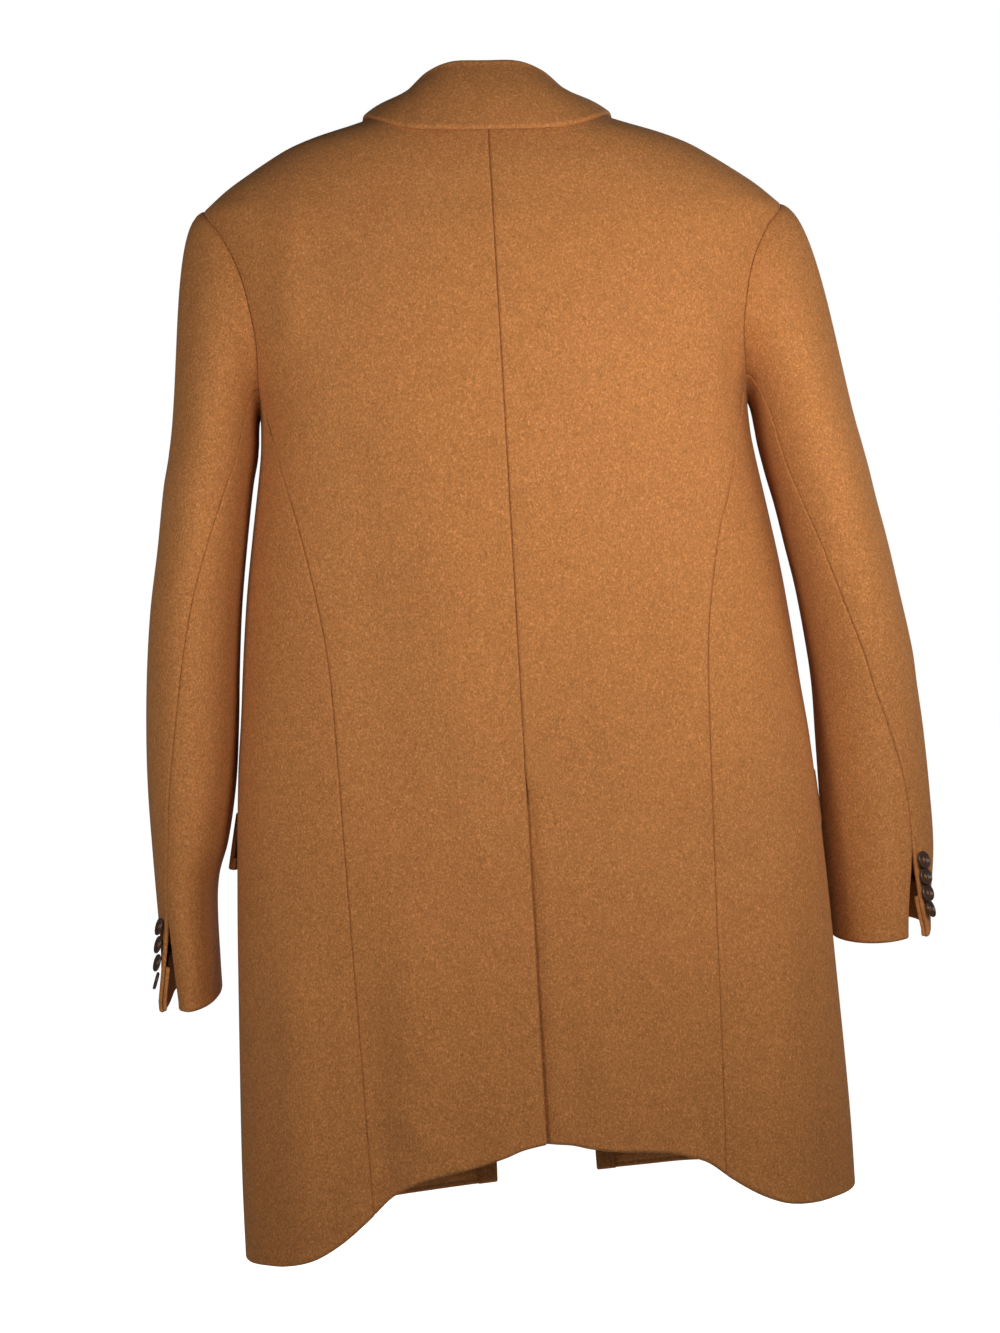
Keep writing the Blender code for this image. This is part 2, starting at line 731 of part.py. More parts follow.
def front_piece(coat, side):
    return cloth(coat, "front_" + side_name(side), front_rows(side), Vector((0, 3000, -300)))


def lapel_piece(coat, side):
    """The turned-back lapel lies on the front, from the roll line out to its free edge."""
    rows = []
    for share in spread(0, 1, LAPEL_STEPS):
        row = []
        for part in spread(0, 1, LAPEL_COLUMNS):
            top_z = LAPEL_TOP + (LAPEL_TIP - LAPEL_TOP) * part
            z = top_z + (BREAK_HEIGHT + LAPEL_START - top_z) * share
            start_x = roll_x(z) + LAPEL_INSET
            end_x = max(LAPEL.read("edge", z), start_x + LAPEL_LEAST_WIDTH)
            x = start_x + (end_x - start_x) * part
            roll = LAPEL_ROLL * math.sin(math.pi * part) * (1 - share)
            lift = LAYER + roll + LAPEL_EDGE_LIFT * part
            row.append(body_point(turn_at(x * side, z, True), z, lift))
        rows.append(row)
    return cloth(coat, "lapel_" + side_name(side), rows, Vector((0, 3000, -300)))


# ---- Collar ----

def neck_seam(place):
    """A place on the body's neck edge: round the back, then down the front's roll line."""
    if place <= COLLAR_SIDE:
        turn = 90 * place / COLLAR_SIDE
        height = neck_turn_height(turn)
        return bare_body(turn, height)
    height = COLLAR.read("neck", place)
    return bare_body(turn_at(roll_x(height), height, True), height)


def collar_profile(place):
    """The collar's section: up the stand, over the fold and down the fall."""
    down_front = clamped((place - COLLAR_SIDE) / COLLAR_SHIFT_LENGTH)
    seam = neck_seam(place) + Vector(COLLAR_LIFT) + Vector(COLLAR_FRONT_SHIFT) * down_front
    top = Vector([COLLAR.read("fold_" + axis, place) for axis in "xyz"])
    edge = Vector([COLLAR.read("edge_" + axis, place) for axis in "xyz"])
    away = Vector((edge.x - top.x, edge.y - top.y, 0)).normalized()
    up = Vector((0, 0, 1))
    middle = top - up * FOLD_RADIUS
    start = middle - away * FOLD_RADIUS
    points = [seam.lerp(start, share) for share in STAND_SHARES]
    for angle in FOLD_ANGLES:
        turned = math.radians(angle)
        points.append(middle + (away * math.cos(turned) + up * math.sin(turned)) * FOLD_RADIUS)
    last = points[-1]
    for share in FALL_SHARES:
        bulge = FALL_BULGE * math.sin(math.pi * share)
        points.append(last.lerp(edge, share) + (away + up).normalized() * bulge)
    return points


def collar_piece(coat):
    half = [collar_profile(place) for place in spread(0, 1, COLLAR_STEPS)]
    rows = [[Vector((-p.x, p.y, p.z)) for p in row] for row in reversed(half[1:])] + half
    return cloth(coat, "collar", rows, Vector((0, -3000, 500)))


# ---- Sleeves ----

def sleeve_ring(side, turn, height):
    """A place on the sleeve's tube, on the wearer's right."""
    table = SLEEVES[side]
    inner = table.read("inner", height)
    outer = table.read("outer", height)
    across = math.sin(math.radians(turn))
    along = math.cos(math.radians(turn))
    x = (inner + outer) / 2 + (outer - inner) / 2 * across
    y = table.read("forward", height) - table.read("half_depth", height) * along
    return Vector((x, y, height))


def armhole_start(turn):
    """Where the sleeve's cloth starts: clear of the body's edge by a gap that suits their angle."""
    body_turn, height = armhole_body_turn(turn)
    point = bare_body(body_turn, height)
    normal = body_normal(body_turn, height)
    along = armhole_point(turn + 2) - armhole_point(turn - 2)
    across = normal.cross(along).normalized()
    outwards = Vector((1, 0, -CAP_DROOP)).normalized()
    lean = math.sqrt(max(0.0, 1 - across.dot(outwards) ** 2))
    return point + outwards * (ARMHOLE_GAP + ARMHOLE_LEAN_GAP * lean)


def armhole_point(turn):
    body_turn, height = armhole_body_turn(turn)
    return bare_body(body_turn, height)


def cap_point(side, turn, share):
    """The sleeve between the armhole and its first whole ring, rounded over at the top."""
    start = armhole_start(turn)
    end = sleeve_ring(side, turn, SLEEVE_TOP)
    below = sleeve_ring(side, turn, SLEEVE_TOP - CAP_ARRIVE_STEP)
    length = (end - start).length
    leave = Vector(CAP_LEAVE)
    leave.y *= math.cos(math.radians(turn))
    leave = leave.normalized() * (length * CAP_LEAVE_SHARE + CAP_LEAVE_LEAST)
    arrive = (below - end).normalized() * length
    return Vector([hermite(start[i], leave[i], end[i], arrive[i], share) for i in range(3)])


def cuff_height(side, turn):
    """The cuff's edge is lower at the back of the sleeve."""
    depth = SLEEVES[side].read("half_depth", CUFF_HEIGHT)
    return CUFF_HEIGHT - CUFF_SLOPE * depth * math.cos(math.radians(turn))


CAP_ROWS = spread(0, 1, 7)
TUBE_ROWS = spread(0, 1, 13)


def sleeve_rows(side, first, last, columns, nudge):
    """Rows from the armhole to the cuff between two seams, whose turns come from functions.

    nudge(point, part) moves a place at that share of the width, for the cuff's vent.
    """
    rows = []
    for share in CAP_ROWS:
        height = CAP_HEIGHT + (SLEEVE_TOP - CAP_HEIGHT) * share
        row = []
        for part in crowded(columns):
            turn = first(height) + (last(height) - first(height)) * part
            row.append(cap_point(side, turn, share))
        rows.append(row)
    for share in TUBE_ROWS[1:]:
        row = []
        for part in crowded(columns):
            turn, height = 0.0, SLEEVE_TOP
            for _ in range(SETTLING_ROUNDS):
                turn = first(height) + (last(height) - first(height)) * part
                height = SLEEVE_TOP + (cuff_height(side, turn) - SLEEVE_TOP) * share
            row.append(nudge(sleeve_ring(side, turn, height), part))
        rows.append(row)
    return rows


def seam_turn(side, height, gap):
    """Turn of the elbow seam, moved round by a gap in millimetres."""
    table = SLEEVES[side]
    radius = (table.read("outer", height) - table.read("inner", height)) / 2
    return table.read("elbow", height) + math.degrees(gap / radius)


def inseam_turn(gap):
    """Turn of the inseam, moved round by a gap in millimetres."""
    return INSEAM_TURN + math.degrees(gap / INSEAM_RADIUS)


def vent_share(height):
    return clamped((CUFF_VENT_TOP - height) / (CUFF_VENT_TOP - CUFF_HEIGHT))


def top_sleeve(coat, side):
    """The outer half: from the elbow seam outwards and forwards round to the inseam."""
    sign = 1 if side == "right" else -1

    def flare(point, part):
        near = max(0.0, 1 - part * CUFF_FLARE_STEPS)
        lift = CUFF_FLARE * vent_share(point.z) ** 1.2 * near * near
        return point + Vector(CUFF_FLARE_WAY) * lift

    rows = sleeve_rows(
        side,
        lambda height: seam_turn(side, height, SEAM / 2),
        lambda height: inseam_turn(-SEAM / 2),
        13,
        flare,
    )
    cloth(coat, "top_sleeve_" + side, mirrored(rows, sign), Vector((3000 * sign, 0, -450)))
    return rows


def under_sleeve(coat, side):
    """The under half: from the inseam past the body side to the elbow seam."""
    sign = 1 if side == "right" else -1

    def tuck(point, part):
        near = max(0.0, (part - CUFF_TUCK_START) / (1 - CUFF_TUCK_START))
        centre = sleeve_ring(side, 0, point.z)
        centre.y = point.y
        return point + (centre - point).normalized() * CUFF_TUCK * vent_share(point.z) * near

    rows = sleeve_rows(
        side,
        lambda height: inseam_turn(SEAM / 2),
        lambda height: 360 + seam_turn(side, height, -SEAM / 2),
        8,
        tuck,
    )
    return cloth(coat, "under_sleeve_" + side, mirrored(rows, sign), Vector((-3000 * sign, 0, -450)))


# ---- Flaps and buttons ----

def flap_piece(coat, side):
    """The hip pocket's flap stands off the body along its lower edge."""
    stand_off = FLAP_STAND_OFF[side]
    first, last = FLAP_TURNS
    rows = []
    for share in spread(0, 1, FLAP_STEPS):
        row = []
        for turn in spread(first, last, FLAP_COLUMNS):
            z = FLAP_TOP - FLAP_DEPTH * share - FLAP_SLOPE * (turn - first) / (last - first)
            row.append(body_point(turn * side, z, LAYER + FLAP_GAP + stand_off * share))
        rows.append(row)
    return cloth(coat, "flap_" + side_name(side), rows, Vector((3000 * side, 1500, -600)))


def button(coat, name, place, outwards, size, finish):
    """A turned button with a raised rim, lying with its back towards the cloth."""
    diameter, thickness = size
    radius = diameter / 2
    mesh = bpy.data.meshes.new(name)
    work = bmesh.new()
    bmesh.ops.create_cone(
        work,
        cap_ends=True,
        segments=BUTTON_SIDES,
        radius1=radius * BUTTON_BACK_SHARE * MM,
        radius2=radius * MM,
        depth=thickness * MM,
    )
    top = max(work.faces, key=lambda face: face.calc_center_median().z)
    bmesh.ops.inset_region(work, faces=[top], thickness=radius * BUTTON_RIM_SHARE * MM, depth=0)
    bmesh.ops.translate(work, verts=top.verts, vec=(0, 0, -thickness * BUTTON_DISH_SHARE * MM))
    turned = Vector((0, 0, 1)).rotation_difference(outwards).to_matrix().to_4x4()
    middle = settle(place) + outwards * thickness / 2
    bmesh.ops.transform(work, matrix=Matrix.Translation(middle * MM) @ turned, verts=work.verts)
    work.to_mesh(mesh)
    work.free()
    piece = bpy.data.objects.new(name, mesh)
    coat.objects.link(piece)
    mesh.materials.append(finish)
    return piece


def cuff_buttons(coat, side, rows, finish):
    """Four overlapping buttons beside the vent, tilted so that each lies on the one below."""
    sign = 1 if side == "right" else -1
    for i in range(CUFF_BUTTON_COUNT):
        height = CUFF_BUTTON_START + CUFF_BUTTON_PITCH * i
        row = min(range(len(rows)), key=lambda k: abs(rows[k][1].z - height))
        above, below = (row - 1, row) if rows[row][1].z < height else (row, row + 1)
        below = min(below, len(rows) - 1)
        share = (rows[above][1].z - height) / (rows[above][1].z - rows[below][1].z)
        place = rows[above][1].lerp(rows[below][1], share)
        across = rows[above][2] - rows[above][0]
        down = rows[below][1] - rows[above][1]
        outwards = across.cross(down).normalized()
        if outwards.x < 0:
            outwards = -outwards
        place = place + outwards * (WALL / 2 + CUFF_BUTTON_OFF)
        outwards = (outwards + Vector((0, 0, CUFF_BUTTON_TILT))).normalized()
        place = Vector((place.x * sign, place.y, place.z))
        outwards = Vector((outwards.x * sign, outwards.y, outwards.z))
        button(coat, f"cuff_button_{side}_{i + 1}", place, outwards, CUFF_BUTTON, finish)


def front_buttons(coat, finish):
    """The closing buttons, beside the front edge on the wearer's right."""
    for i, height in enumerate(FRONT_BUTTON_HEIGHTS):
        turn = turn_at(roll_x(height) + FRONT_BUTTON_INSET, height, True)
        place = body_point(turn, height, WALL / 2 + FRONT_BUTTON_OFF)
        button(coat, f"front_button_{i + 1}", place, body_normal(turn, height), FRONT_BUTTON, finish)


def main():
    coat = start_scene()
    finish = material("horn", HORN, HORN_ROUGHNESS)
    for side in (-1, 1):
        back_piece(coat, side)
        side_piece(coat, side)
        front_piece(coat, side)
        lapel_piece(coat, side)
        flap_piece(coat, side)
    collar_piece(coat)
    for side in ("left", "right"):
        rows = top_sleeve(coat, side)
        under_sleeve(coat, side)
        cuff_buttons(coat, side, rows, finish)
    front_buttons(coat, finish)


main()
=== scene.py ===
"""A camel wool overcoat seen from its back, cut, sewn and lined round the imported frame.

The coat hangs open and hollow, with its back towards -Y, its front towards +Y and the wearer's right at +X.
Lengths are in millimetres until MM turns them into metres. Turns run round the body in degrees: 0 is the
centre back, 90 a side and 180 the centre front. On a sleeve, 0 faces back, 90 outwards, 180 forwards and
270 towards the body. Each piece of cloth is cut as a grid, laid on the coat's surface, rolled in along its
edges and then given its thickness.
"""

import math

import bmesh
import bpy
import numpy as np
from mathutils import Matrix, Vector


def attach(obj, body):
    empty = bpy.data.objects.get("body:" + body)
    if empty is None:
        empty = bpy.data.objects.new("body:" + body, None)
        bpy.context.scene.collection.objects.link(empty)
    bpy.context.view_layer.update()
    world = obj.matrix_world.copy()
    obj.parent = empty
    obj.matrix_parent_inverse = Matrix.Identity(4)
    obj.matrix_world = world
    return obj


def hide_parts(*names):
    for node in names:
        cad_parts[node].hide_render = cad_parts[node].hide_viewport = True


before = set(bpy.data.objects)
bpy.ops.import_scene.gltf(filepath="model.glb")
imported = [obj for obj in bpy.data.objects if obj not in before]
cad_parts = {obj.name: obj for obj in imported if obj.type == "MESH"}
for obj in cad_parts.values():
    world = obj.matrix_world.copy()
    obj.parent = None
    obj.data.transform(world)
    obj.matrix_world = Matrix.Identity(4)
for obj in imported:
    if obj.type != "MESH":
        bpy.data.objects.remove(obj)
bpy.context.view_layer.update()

bl_info = {
    "name": "Camel overcoat",
    "version": (1, 0, 0),
    "blender": (4, 5, 0),
    "location": "3D View > Sidebar > Overcoat",
    "description": "Cuts and sews a wool overcoat round its packed frame",
    "category": "Add Mesh",
}

MM = 0.001

# ---- Sizes shared with the frame ----
WALL = 2.4
LAYER = WALL + 0.45
TIP_HEIGHT = -87.5
NECK_HALF = 74.0
NECK_HEIGHT = -3.0
YOKE_HEIGHT = -240.0
ARMHOLE_MIDDLE = -171.3
ARMHOLE_HALF_HEIGHT = 83.8
ARMHOLE_BACK_REACH = 60.0
ARMHOLE_FRONT_REACH = 64.0
ARMHOLE_BACK_NOTCH = -55.0
ARMHOLE_FRONT_NOTCH = -130.0
VENT_TOP = -578.0
VENT_WIDTH = 45.0
BREAK_HEIGHT = -400.0
BREAK_X = 36.0
FRONT_HEM_HEIGHT = -915.0
HEM_EDGE_X = 44.5
SEAM_BEND = -270.0  # above this height the long seams bend into the armhole
SLEEVE_TOP = -282.0
SLEEVE_HEAD = -171.0
CUFF_HEIGHT = -722.0
CUFF_SLOPE = 0.15
CUFF_VENT_TOP = -648.0
CUFF_FLARE = 15.0  # how far the cuff's open edge stands out at the hem, and which way
CUFF_FLARE_WAY = (0.9, -0.25, 0)
CUFF_FLARE_FADE = 3.2
CUFF_TUCK = 2.4
INSEAM_TURN = 226.0
LEAN_TOP = -0.044
LEAN_BOTTOM = 0.064
LEAN_BOTTOM_HEIGHT = -940.0


class Table:
    """Rows under named columns, read along a smooth curve through the rows."""

    def __init__(self, columns, *rows):
        rows = np.array(sorted(rows), float)
        self.keys = rows[:, 0]
        self.values = dict(zip(columns.split(), rows.T))

    def read(self, name, at):
        keys, values = self.keys, self.values[name]
        at = np.clip(np.asarray(at, float), keys[0], keys[-1])
        low = np.clip(np.searchsorted(keys, at, side="right") - 1, 0, len(keys) - 2)
        index = np.arange(len(keys))
        before, after = np.maximum(index - 1, 0), np.minimum(index + 1, len(keys) - 1)
        slopes = (values[after] - values[before]) / (keys[after] - keys[before])
        span = keys[low + 1] - keys[low]
        part = (at - keys[low]) / span
        return hermite(values[low], slopes[low] * span, values[low + 1], slopes[low + 1] * span, part)


def hermite(start, start_slope, end, end_slope, t):
    return (
        start * (2 * t**3 - 3 * t**2 + 1)
        + start_slope * (t**3 - 2 * t**2 + t)
        + end * (3 * t**2 - 2 * t**3)
        + end_slope * (t**3 - t**2)
    )


SHOULDER = Table(
    "x height",
    (74, -3), (100, -13.3), (120, -20), (135, -24.5), (150, -29.5), (170, -38),
    (190, -50), (203, -58.5), (217, -68), (226, -75), (240, TIP_HEIGHT),
)
BODY = Table(
    "height half_width back_depth front_depth roundness",
    (-950, 256, 118, 116, 2.35), (-870, 255, 118, 115, 2.35), (-750, 250.5, 115, 115, 2.3),
    (-650, 246, 110, 116, 2.3), (-550, 239.5, 108, 119, 2.3), (-500, 234, 108, 122, 2.3),
    (-450, 229, 110, 126, 2.3), (-400, 223, 113, 128, 2.3), (-350, 215, 116, 130, 2.3),
    (-300, 206.5, 119, 131, 2.35), (-280, 204, 120, 131, 2.4), (-250, 203.5, 120, 130, 2.4),
    (-230, 209, 120, 129, 2.4), (-200, 217, 118, 127, 2.4), (-170, 226, 115, 122, 2.4),
    (-140, 233, 109, 115, 2.4), (-110, 238, 102, 106, 2.4), (TIP_HEIGHT, 240, 94, 97, 2.3),
    (-60, 205, 85, 82, 2.3), (-38, 170, 75, 67, 2.3), (-20, 120, 65, 51, 2.2),
    (-10, 91, 56, 41, 2.2), (0, 66, 46, 30, 2.2),
)
SEAMS = Table(
    "height back front",
    (-940, 143, 231), (-900, 144, 230), (-800, 146.5, 227), (-700, 148.5, 223), (-600, 151, 217),
    (-500, 153.5, 209), (-450, 156.5, 203), (-400, 164, 197), (-350, 174, 192), (-300, 186.5, 190),
    (SEAM_BEND, 193, 194),
)
BACK_HEM = Table(
    "x height",
    (0, -858), (20, -861), (35, -865.5), (60, -871), (100, -877), (112, -881), (130, -889),
    (150, -906), (170, -921), (190, -932), (205, -936), (222, -938),
)
SIDE_HEM = Table("turn height", (60, -938), (90, -936), (120, -928), (150, -917), (180, -915))
SLEEVE_COLUMNS = "height inner outer forward half_depth elbow"
SLEEVES = {
    "left": Table(
        SLEEVE_COLUMNS,
        (-725, 267.5, 312, 28, 62.5, 31), (-700, 267.5, 313, 25, 63, 31), (-650, 266.5, 314.5, 18, 64, 30),
        (-625, 263, 315, 14, 65, 28), (-600, 254, 315.5, 11, 66, 26), (-553, 244, 315.9, 6, 67.5, 22),
        (-506, 238.5, 314, 1, 68.6, 14), (-457, 234.5, 310, -3, 71, 6), (-408, 229.5, 303.9, -5, 73, -3),
        (-360, 222.5, 295, -6, 75, -16), (-311, 214.5, 287.2, -4, 76, -34),
        (SLEEVE_TOP, 208.5, 281, -2, 75, -42), (-171, 205, 265, 0, 62, -50),
    ),
    "right": Table(
        SLEEVE_COLUMNS,
        (-725, 252, 334, 32, 53.5, 33), (-700, 251.5, 336, 30, 54, 32), (-653, 250, 341, 27, 55, 31),
        (-600, 249, 340, 24, 59, 28), (-548, 248, 337, 19, 63, 15), (-508, 247, 333, 12, 66, 2),
        (-478, 244.5, 330, 6, 69, -5), (-421, 237, 320, -2, 72, -19), (-381, 229.5, 313, -4, 74, -27),
        (-346, 223, 306, -4, 76, -36), (-315, 216, 300.5, -3, 77, -42),
        (SLEEVE_TOP, 210.5, 293.5, -2, 76, -45), (-171, 205, 268, 0, 62, -50),
    ),
}
COLLAR = Table(
    "place fold_x fold_y fold_z edge_x edge_y edge_z neck",
    (0.00, 0, -50.5, 28.5, 0, -85, -31, 0),
    (0.20, 27, -46.5, 28.5, 38, -80, -30, 0),
    (0.38, 46, -36, 22.5, 68, -68, -26, 0),
    (0.50, 59, -19, 14, 90, -48, -17, 0),
    (0.60, 66, 0, 9, 102, -8, -8.5, NECK_HEIGHT),
    (0.75, 66, 33, -1, 106, 33, -14, -16),
    (0.90, 68, 75, -35, 110, 72, -41, -46),
    (1.00, 68, 95, -63, 110, 92, -70, -72),
)
COLLAR_SIDE = 0.6
FOLD_RADIUS = 3.2
FALL_BULGE = 3.0
COLLAR_SEAM_LIFT = 2.3
COLLAR_FRONT_SHIFT = (-3.4, 0.8, 0.6)  # past the sides, the collar's seam moves so far inside the front
COLLAR_FRONT_FADE = 0.12
LAPEL = Table(
    "height edge",
    (-94, 134), (-150, 124), (-230, 101), (-320, 68), (-370, 49), (BREAK_HEIGHT, 39),
)
LAPEL_TOP = -79.0
LAPEL_POINT_HEIGHT = -94.0
LAPEL_START = BREAK_HEIGHT + 6
LAPEL_TUCK = 1.2
LAPEL_LEAST = 4
LAPEL_GAP = 0.4
LAPEL_ROLL = 4.5
LAPEL_SPREAD = 1.2

# Soft folds that the frame has too: a ridge from its top to its bottom, on the back or the front.
# Columns: face, top x, top height, bottom x, bottom height, width, rise.
FOLDS = (
    ("back", -163, -70, -170, -190, 16, 3.5),
    ("back", 166, -120, 176, -340, 15, 4.0),
    ("back", -128, -230, -112, -560, 26, -3.5),
    ("back", 120, -260, 108, -600, 26, -3.0),
    ("back", -60, -330, -40, -620, 24, 2.5),
    ("back", -104, -620, -96, -960, 22, 5.0),
    ("back", -138, -690, -132, -960, 14, -4.0),
    ("back", -36, -760, -30, -960, 14, 3.0),
    ("back", 44, -700, 50, -960, 18, 4.0),
    ("back", 118, -640, 112, -960, 22, 4.5),
    ("back", -196, -640, -200, -960, 20, 5.0),
    ("back", 198, -620, 204, -960, 20, 4.0),
    ("front", -120, -430, -140, -960, 24, 5.0),
    ("front", 132, -460, 120, -960, 24, 4.5),
    ("front", -150, -200, -130, -400, 20, 3.5),
    ("front", 152, -220, 140, -420, 20, 3.5),
)

# Small creases laid over them, each along a short line: where it starts and ends, how wide and how high.
# Columns: face, start x, start height, end x, end height, width, rise.
CREASES = (
    ("back", -30, -905, -120, -820, 9, 1.6),
    ("back", -20, -880, -95, -905, 8, -1.4),
    ("back", 48, -780, 70, -860, 9, 1.5),
)


# ---- The coat's surface ----

def half_width(height):
    """Half width of the body; above the shoulder tips it is read back from the shoulder line."""
    height = np.asarray(height, float)
    xs = np.linspace(NECK_HALF, 240, 500)
    line = np.interp(height, SHOULDER.read("height", xs)[::-1], xs[::-1])
    low = BODY.read("half_width", height)
    neck = NECK_HALF - 2.7 * (height - NECK_HEIGHT)
    return np.where(height <= TIP_HEIGHT, low, np.where(height >= NECK_HEIGHT, neck, line))


def bare_body(turn, height):
    turn, height = np.broadcast_arrays(np.asarray(turn, float), np.asarray(height, float))
    power = 2 / BODY.read("roundness", height)
    across, along = np.sin(np.radians(turn)), np.cos(np.radians(turn))
    depth = np.where(along > 0, BODY.read("back_depth", height), BODY.read("front_depth", height))
    x = np.copysign(half_width(height) * np.abs(across) ** power, across)
    y = -np.copysign(depth * np.abs(along) ** power, along)
    return np.stack([x, y, height], -1)


def turn_at(x, height, front=False):
    share = np.minimum(np.abs(x) / half_width(height), 0.999999)
    turn = np.degrees(np.arcsin(share ** (BODY.read("roundness", height) / 2)))
    turn = 180 - turn if front else turn
    return np.copysign(turn, x)


def armhole_place(turn):
    """Distance from the centre, depth and height of the armhole at a turn of the sleeve."""
    across = np.cos(np.radians(turn))
    reach = np.where(across > 0, ARMHOLE_BACK_REACH, ARMHOLE_FRONT_REACH)
    height = ARMHOLE_MIDDLE + ARMHOLE_HALF_HEIGHT * np.sin(np.radians(turn))
    depth = np.where(across > 0, BODY.read("back_depth", height), BODY.read("front_depth", height))
    away = reach * across
    roundness = BODY.read("roundness", height)
    x = half_width(height) * (1 - np.minimum(1, np.abs(away) / depth) ** roundness) ** (1 / roundness)
    return x, away, height


def armhole_body_turn(turn):
    """Turn round the body, and height, of the armhole at a turn of the sleeve."""
    _, away, height = armhole_place(turn)
    depth = np.where(away > 0, BODY.read("back_depth", height), BODY.read("front_depth", height))
    share = np.minimum(1, np.abs(away) / depth) ** (BODY.read("roundness", height) / 2)
    body_turn = np.degrees(np.arccos(share))
    return np.where(away > 0, body_turn, 180 - body_turn), height


def settle(points):
    """The whole coat hangs a little unevenly: its left shoulder is higher and its left hem lower."""
    share = np.clip((TIP_HEIGHT - points[..., 2]) / (TIP_HEIGHT - LEAN_BOTTOM_HEIGHT), 0, 1)
    lean = LEAN_TOP + (LEAN_BOTTOM - LEAN_TOP) * share
    moved = points.copy()
    moved[..., 2] += lean * points[..., 0]
    return moved


def eased(share):
    share = np.clip(share, 0, 1)
    return share * share * (3 - 2 * share)


def fold_rise(points):
    """How far the soft folds lift the cloth at places on the body."""
    x, y, height = points[..., 0], points[..., 1], points[..., 2]
    total = np.zeros(x.shape)
    for face, top_x, top_z, bottom_x, bottom_z, width, rise in FOLDS:
        on_face = (y < 0) == (face == "back")
        part = (height - top_z) / (bottom_z - top_z)
        middle = top_x + (bottom_x - top_x) * part
        end = np.clip((1.15 - part) / 0.15, 0, 1) if bottom_z > -900 else 1.0
        fade = eased(np.minimum(part / 0.35, end))
        total += on_face * rise * fade * np.exp(-(((x - middle) / width) ** 2))
    return total


def crease_rise(points):
    """How far the small creases lift or sink the cloth at places on the body."""
    x, y, height = points[..., 0], points[..., 1], points[..., 2]
    total = np.zeros(x.shape)
    for face, start_x, start_z, end_x, end_z, width, rise in CREASES:
        length = math.hypot(end_x - start_x, end_z - start_z)
        along_x, along_z = (end_x - start_x) / length, (end_z - start_z) / length
        along = (x - start_x) * along_x + (height - start_z) * along_z
        aside = (x - start_x) * along_z - (height - start_z) * along_x
        over = np.maximum(np.abs(along - length / 2) - length * 0.3, 0) / (length * 0.25)
        on_face = (y < 0) == (face == "back")
        total += on_face * rise * np.exp(-((aside / width) ** 2) - over**2)
    return total


def body_relief(points):
    return fold_rise(points) + crease_rise(points)


# ---- Where each piece of cloth lies ----
# A surface takes two shares: across its piece from 0 to 1, and up or along it, 1 for each stretch.

SEARCH_ROUNDS = 4  # rounds in which a place finds its own height between the hem and the top
SIDE_MEETING = 17  # the last of so many parts of the side's height turns to meet the armhole
HEM_JOIN_TURN = 62

def roll_x(height):
    """Distance of the roll line, or of the front edge below the break, from the centre."""
    above = BREAK_X + (NECK_HALF - BREAK_X) * (height - BREAK_HEIGHT) / (NECK_HEIGHT - BREAK_HEIGHT)
    below = BREAK_X + (HEM_EDGE_X - BREAK_X) * (BREAK_HEIGHT - height) / (BREAK_HEIGHT - FRONT_HEM_HEIGHT)
    return np.where(height > BREAK_HEIGHT, above, below)


def long_seam_x(face, height):
    """Distance of a long seam from the centre; its last stretch bends into the armhole."""
    notch = ARMHOLE_BACK_NOTCH if face == "back" else ARMHOLE_FRONT_NOTCH
    corner_x, _, corner_z = armhole_place(notch)
    low = SEAMS.read(face, SEAM_BEND)
    part = np.clip((height - SEAM_BEND) / (corner_z - SEAM_BEND), 0, 1)
    return np.where(height < SEAM_BEND, SEAMS.read(face, height), low + (corner_x - low) * part)


def shoulder_top(part):
    x = NECK_HALF + (240 - NECK_HALF) * np.clip(part, 0, 1)
    return x, SHOULDER.read("height", x)


NECK_SHARE = 4 / 11  # share of the back's top edge that lies along the neck


def back_top(part):
    turn = 90 * np.clip(part / NECK_SHARE, 0, 1)
    neck_z = NECK_HEIGHT * np.sin(np.radians(turn)) ** 2
    neck_x = bare_body(turn, neck_z)[..., 0]
    x, z = shoulder_top((part - NECK_SHARE) / (1 - NECK_SHARE))
    return np.where(part < NECK_SHARE, neck_x, x), np.where(part < NECK_SHARE, neck_z, z)


def patch_place(part, share, top, arm_turn, base_start, inner):
    """Distance and height above the yoke, between the seam, the armhole and the top edge."""
    corner_x, _, corner_z = armhole_place(arm_turn(0.0))
    arm_x, _, arm_z = armhole_place(arm_turn(share))
    in_x, in_z = inner(share)
    top_x, top_z = top(part)
    first_x, first_z = top(np.zeros(()))
    tip_x, tip_z = top(np.ones(()))
    base_x = base_start + (corner_x - base_start) * part
    base_z = YOKE_HEIGHT + (corner_z - YOKE_HEIGHT) * part
    x = base_x * (1 - share) + top_x * share
    z = base_z * (1 - share) + top_z * share
    x = x + part * (arm_x - corner_x * (1 - share) - tip_x * share)
    z = z + part * (arm_z - corner_z * (1 - share) - tip_z * share)
    x = x + (1 - part) * (in_x - base_start * (1 - share) - first_x * share)
    z = z + (1 - part) * (in_z - YOKE_HEIGHT * (1 - share) - first_z * share)
    return x, z


def back_surface(side):
    def surface(part, t):
        _, _, corner_z = armhole_place(ARMHOLE_BACK_NOTCH)
        share = np.clip(t, 0, 1)
        x = 190.0 * part
        for _ in range(SEARCH_ROUNDS):
            hem = BACK_HEM.read("height", np.abs(x))
            z = hem * (1 - share) + (YOKE_HEIGHT + (corner_z - YOKE_HEIGHT) * part) * share
            x = long_seam_x("back", z) * part
        up_x, up_z = patch_place(
            part,
            np.clip(t - 1, 0, 1),
            back_top,
            lambda s: ARMHOLE_BACK_NOTCH + (90 - ARMHOLE_BACK_NOTCH) * s,
            0.0,
            lambda s: (0.0 * s, YOKE_HEIGHT * (1 - s)),
        )
        x, z = np.where(t > 1, up_x, x), np.where(t > 1, up_z, z)
        x = np.minimum(x, half_width(z))
        return bare_body(turn_at(x * side, z), z)

    return surface


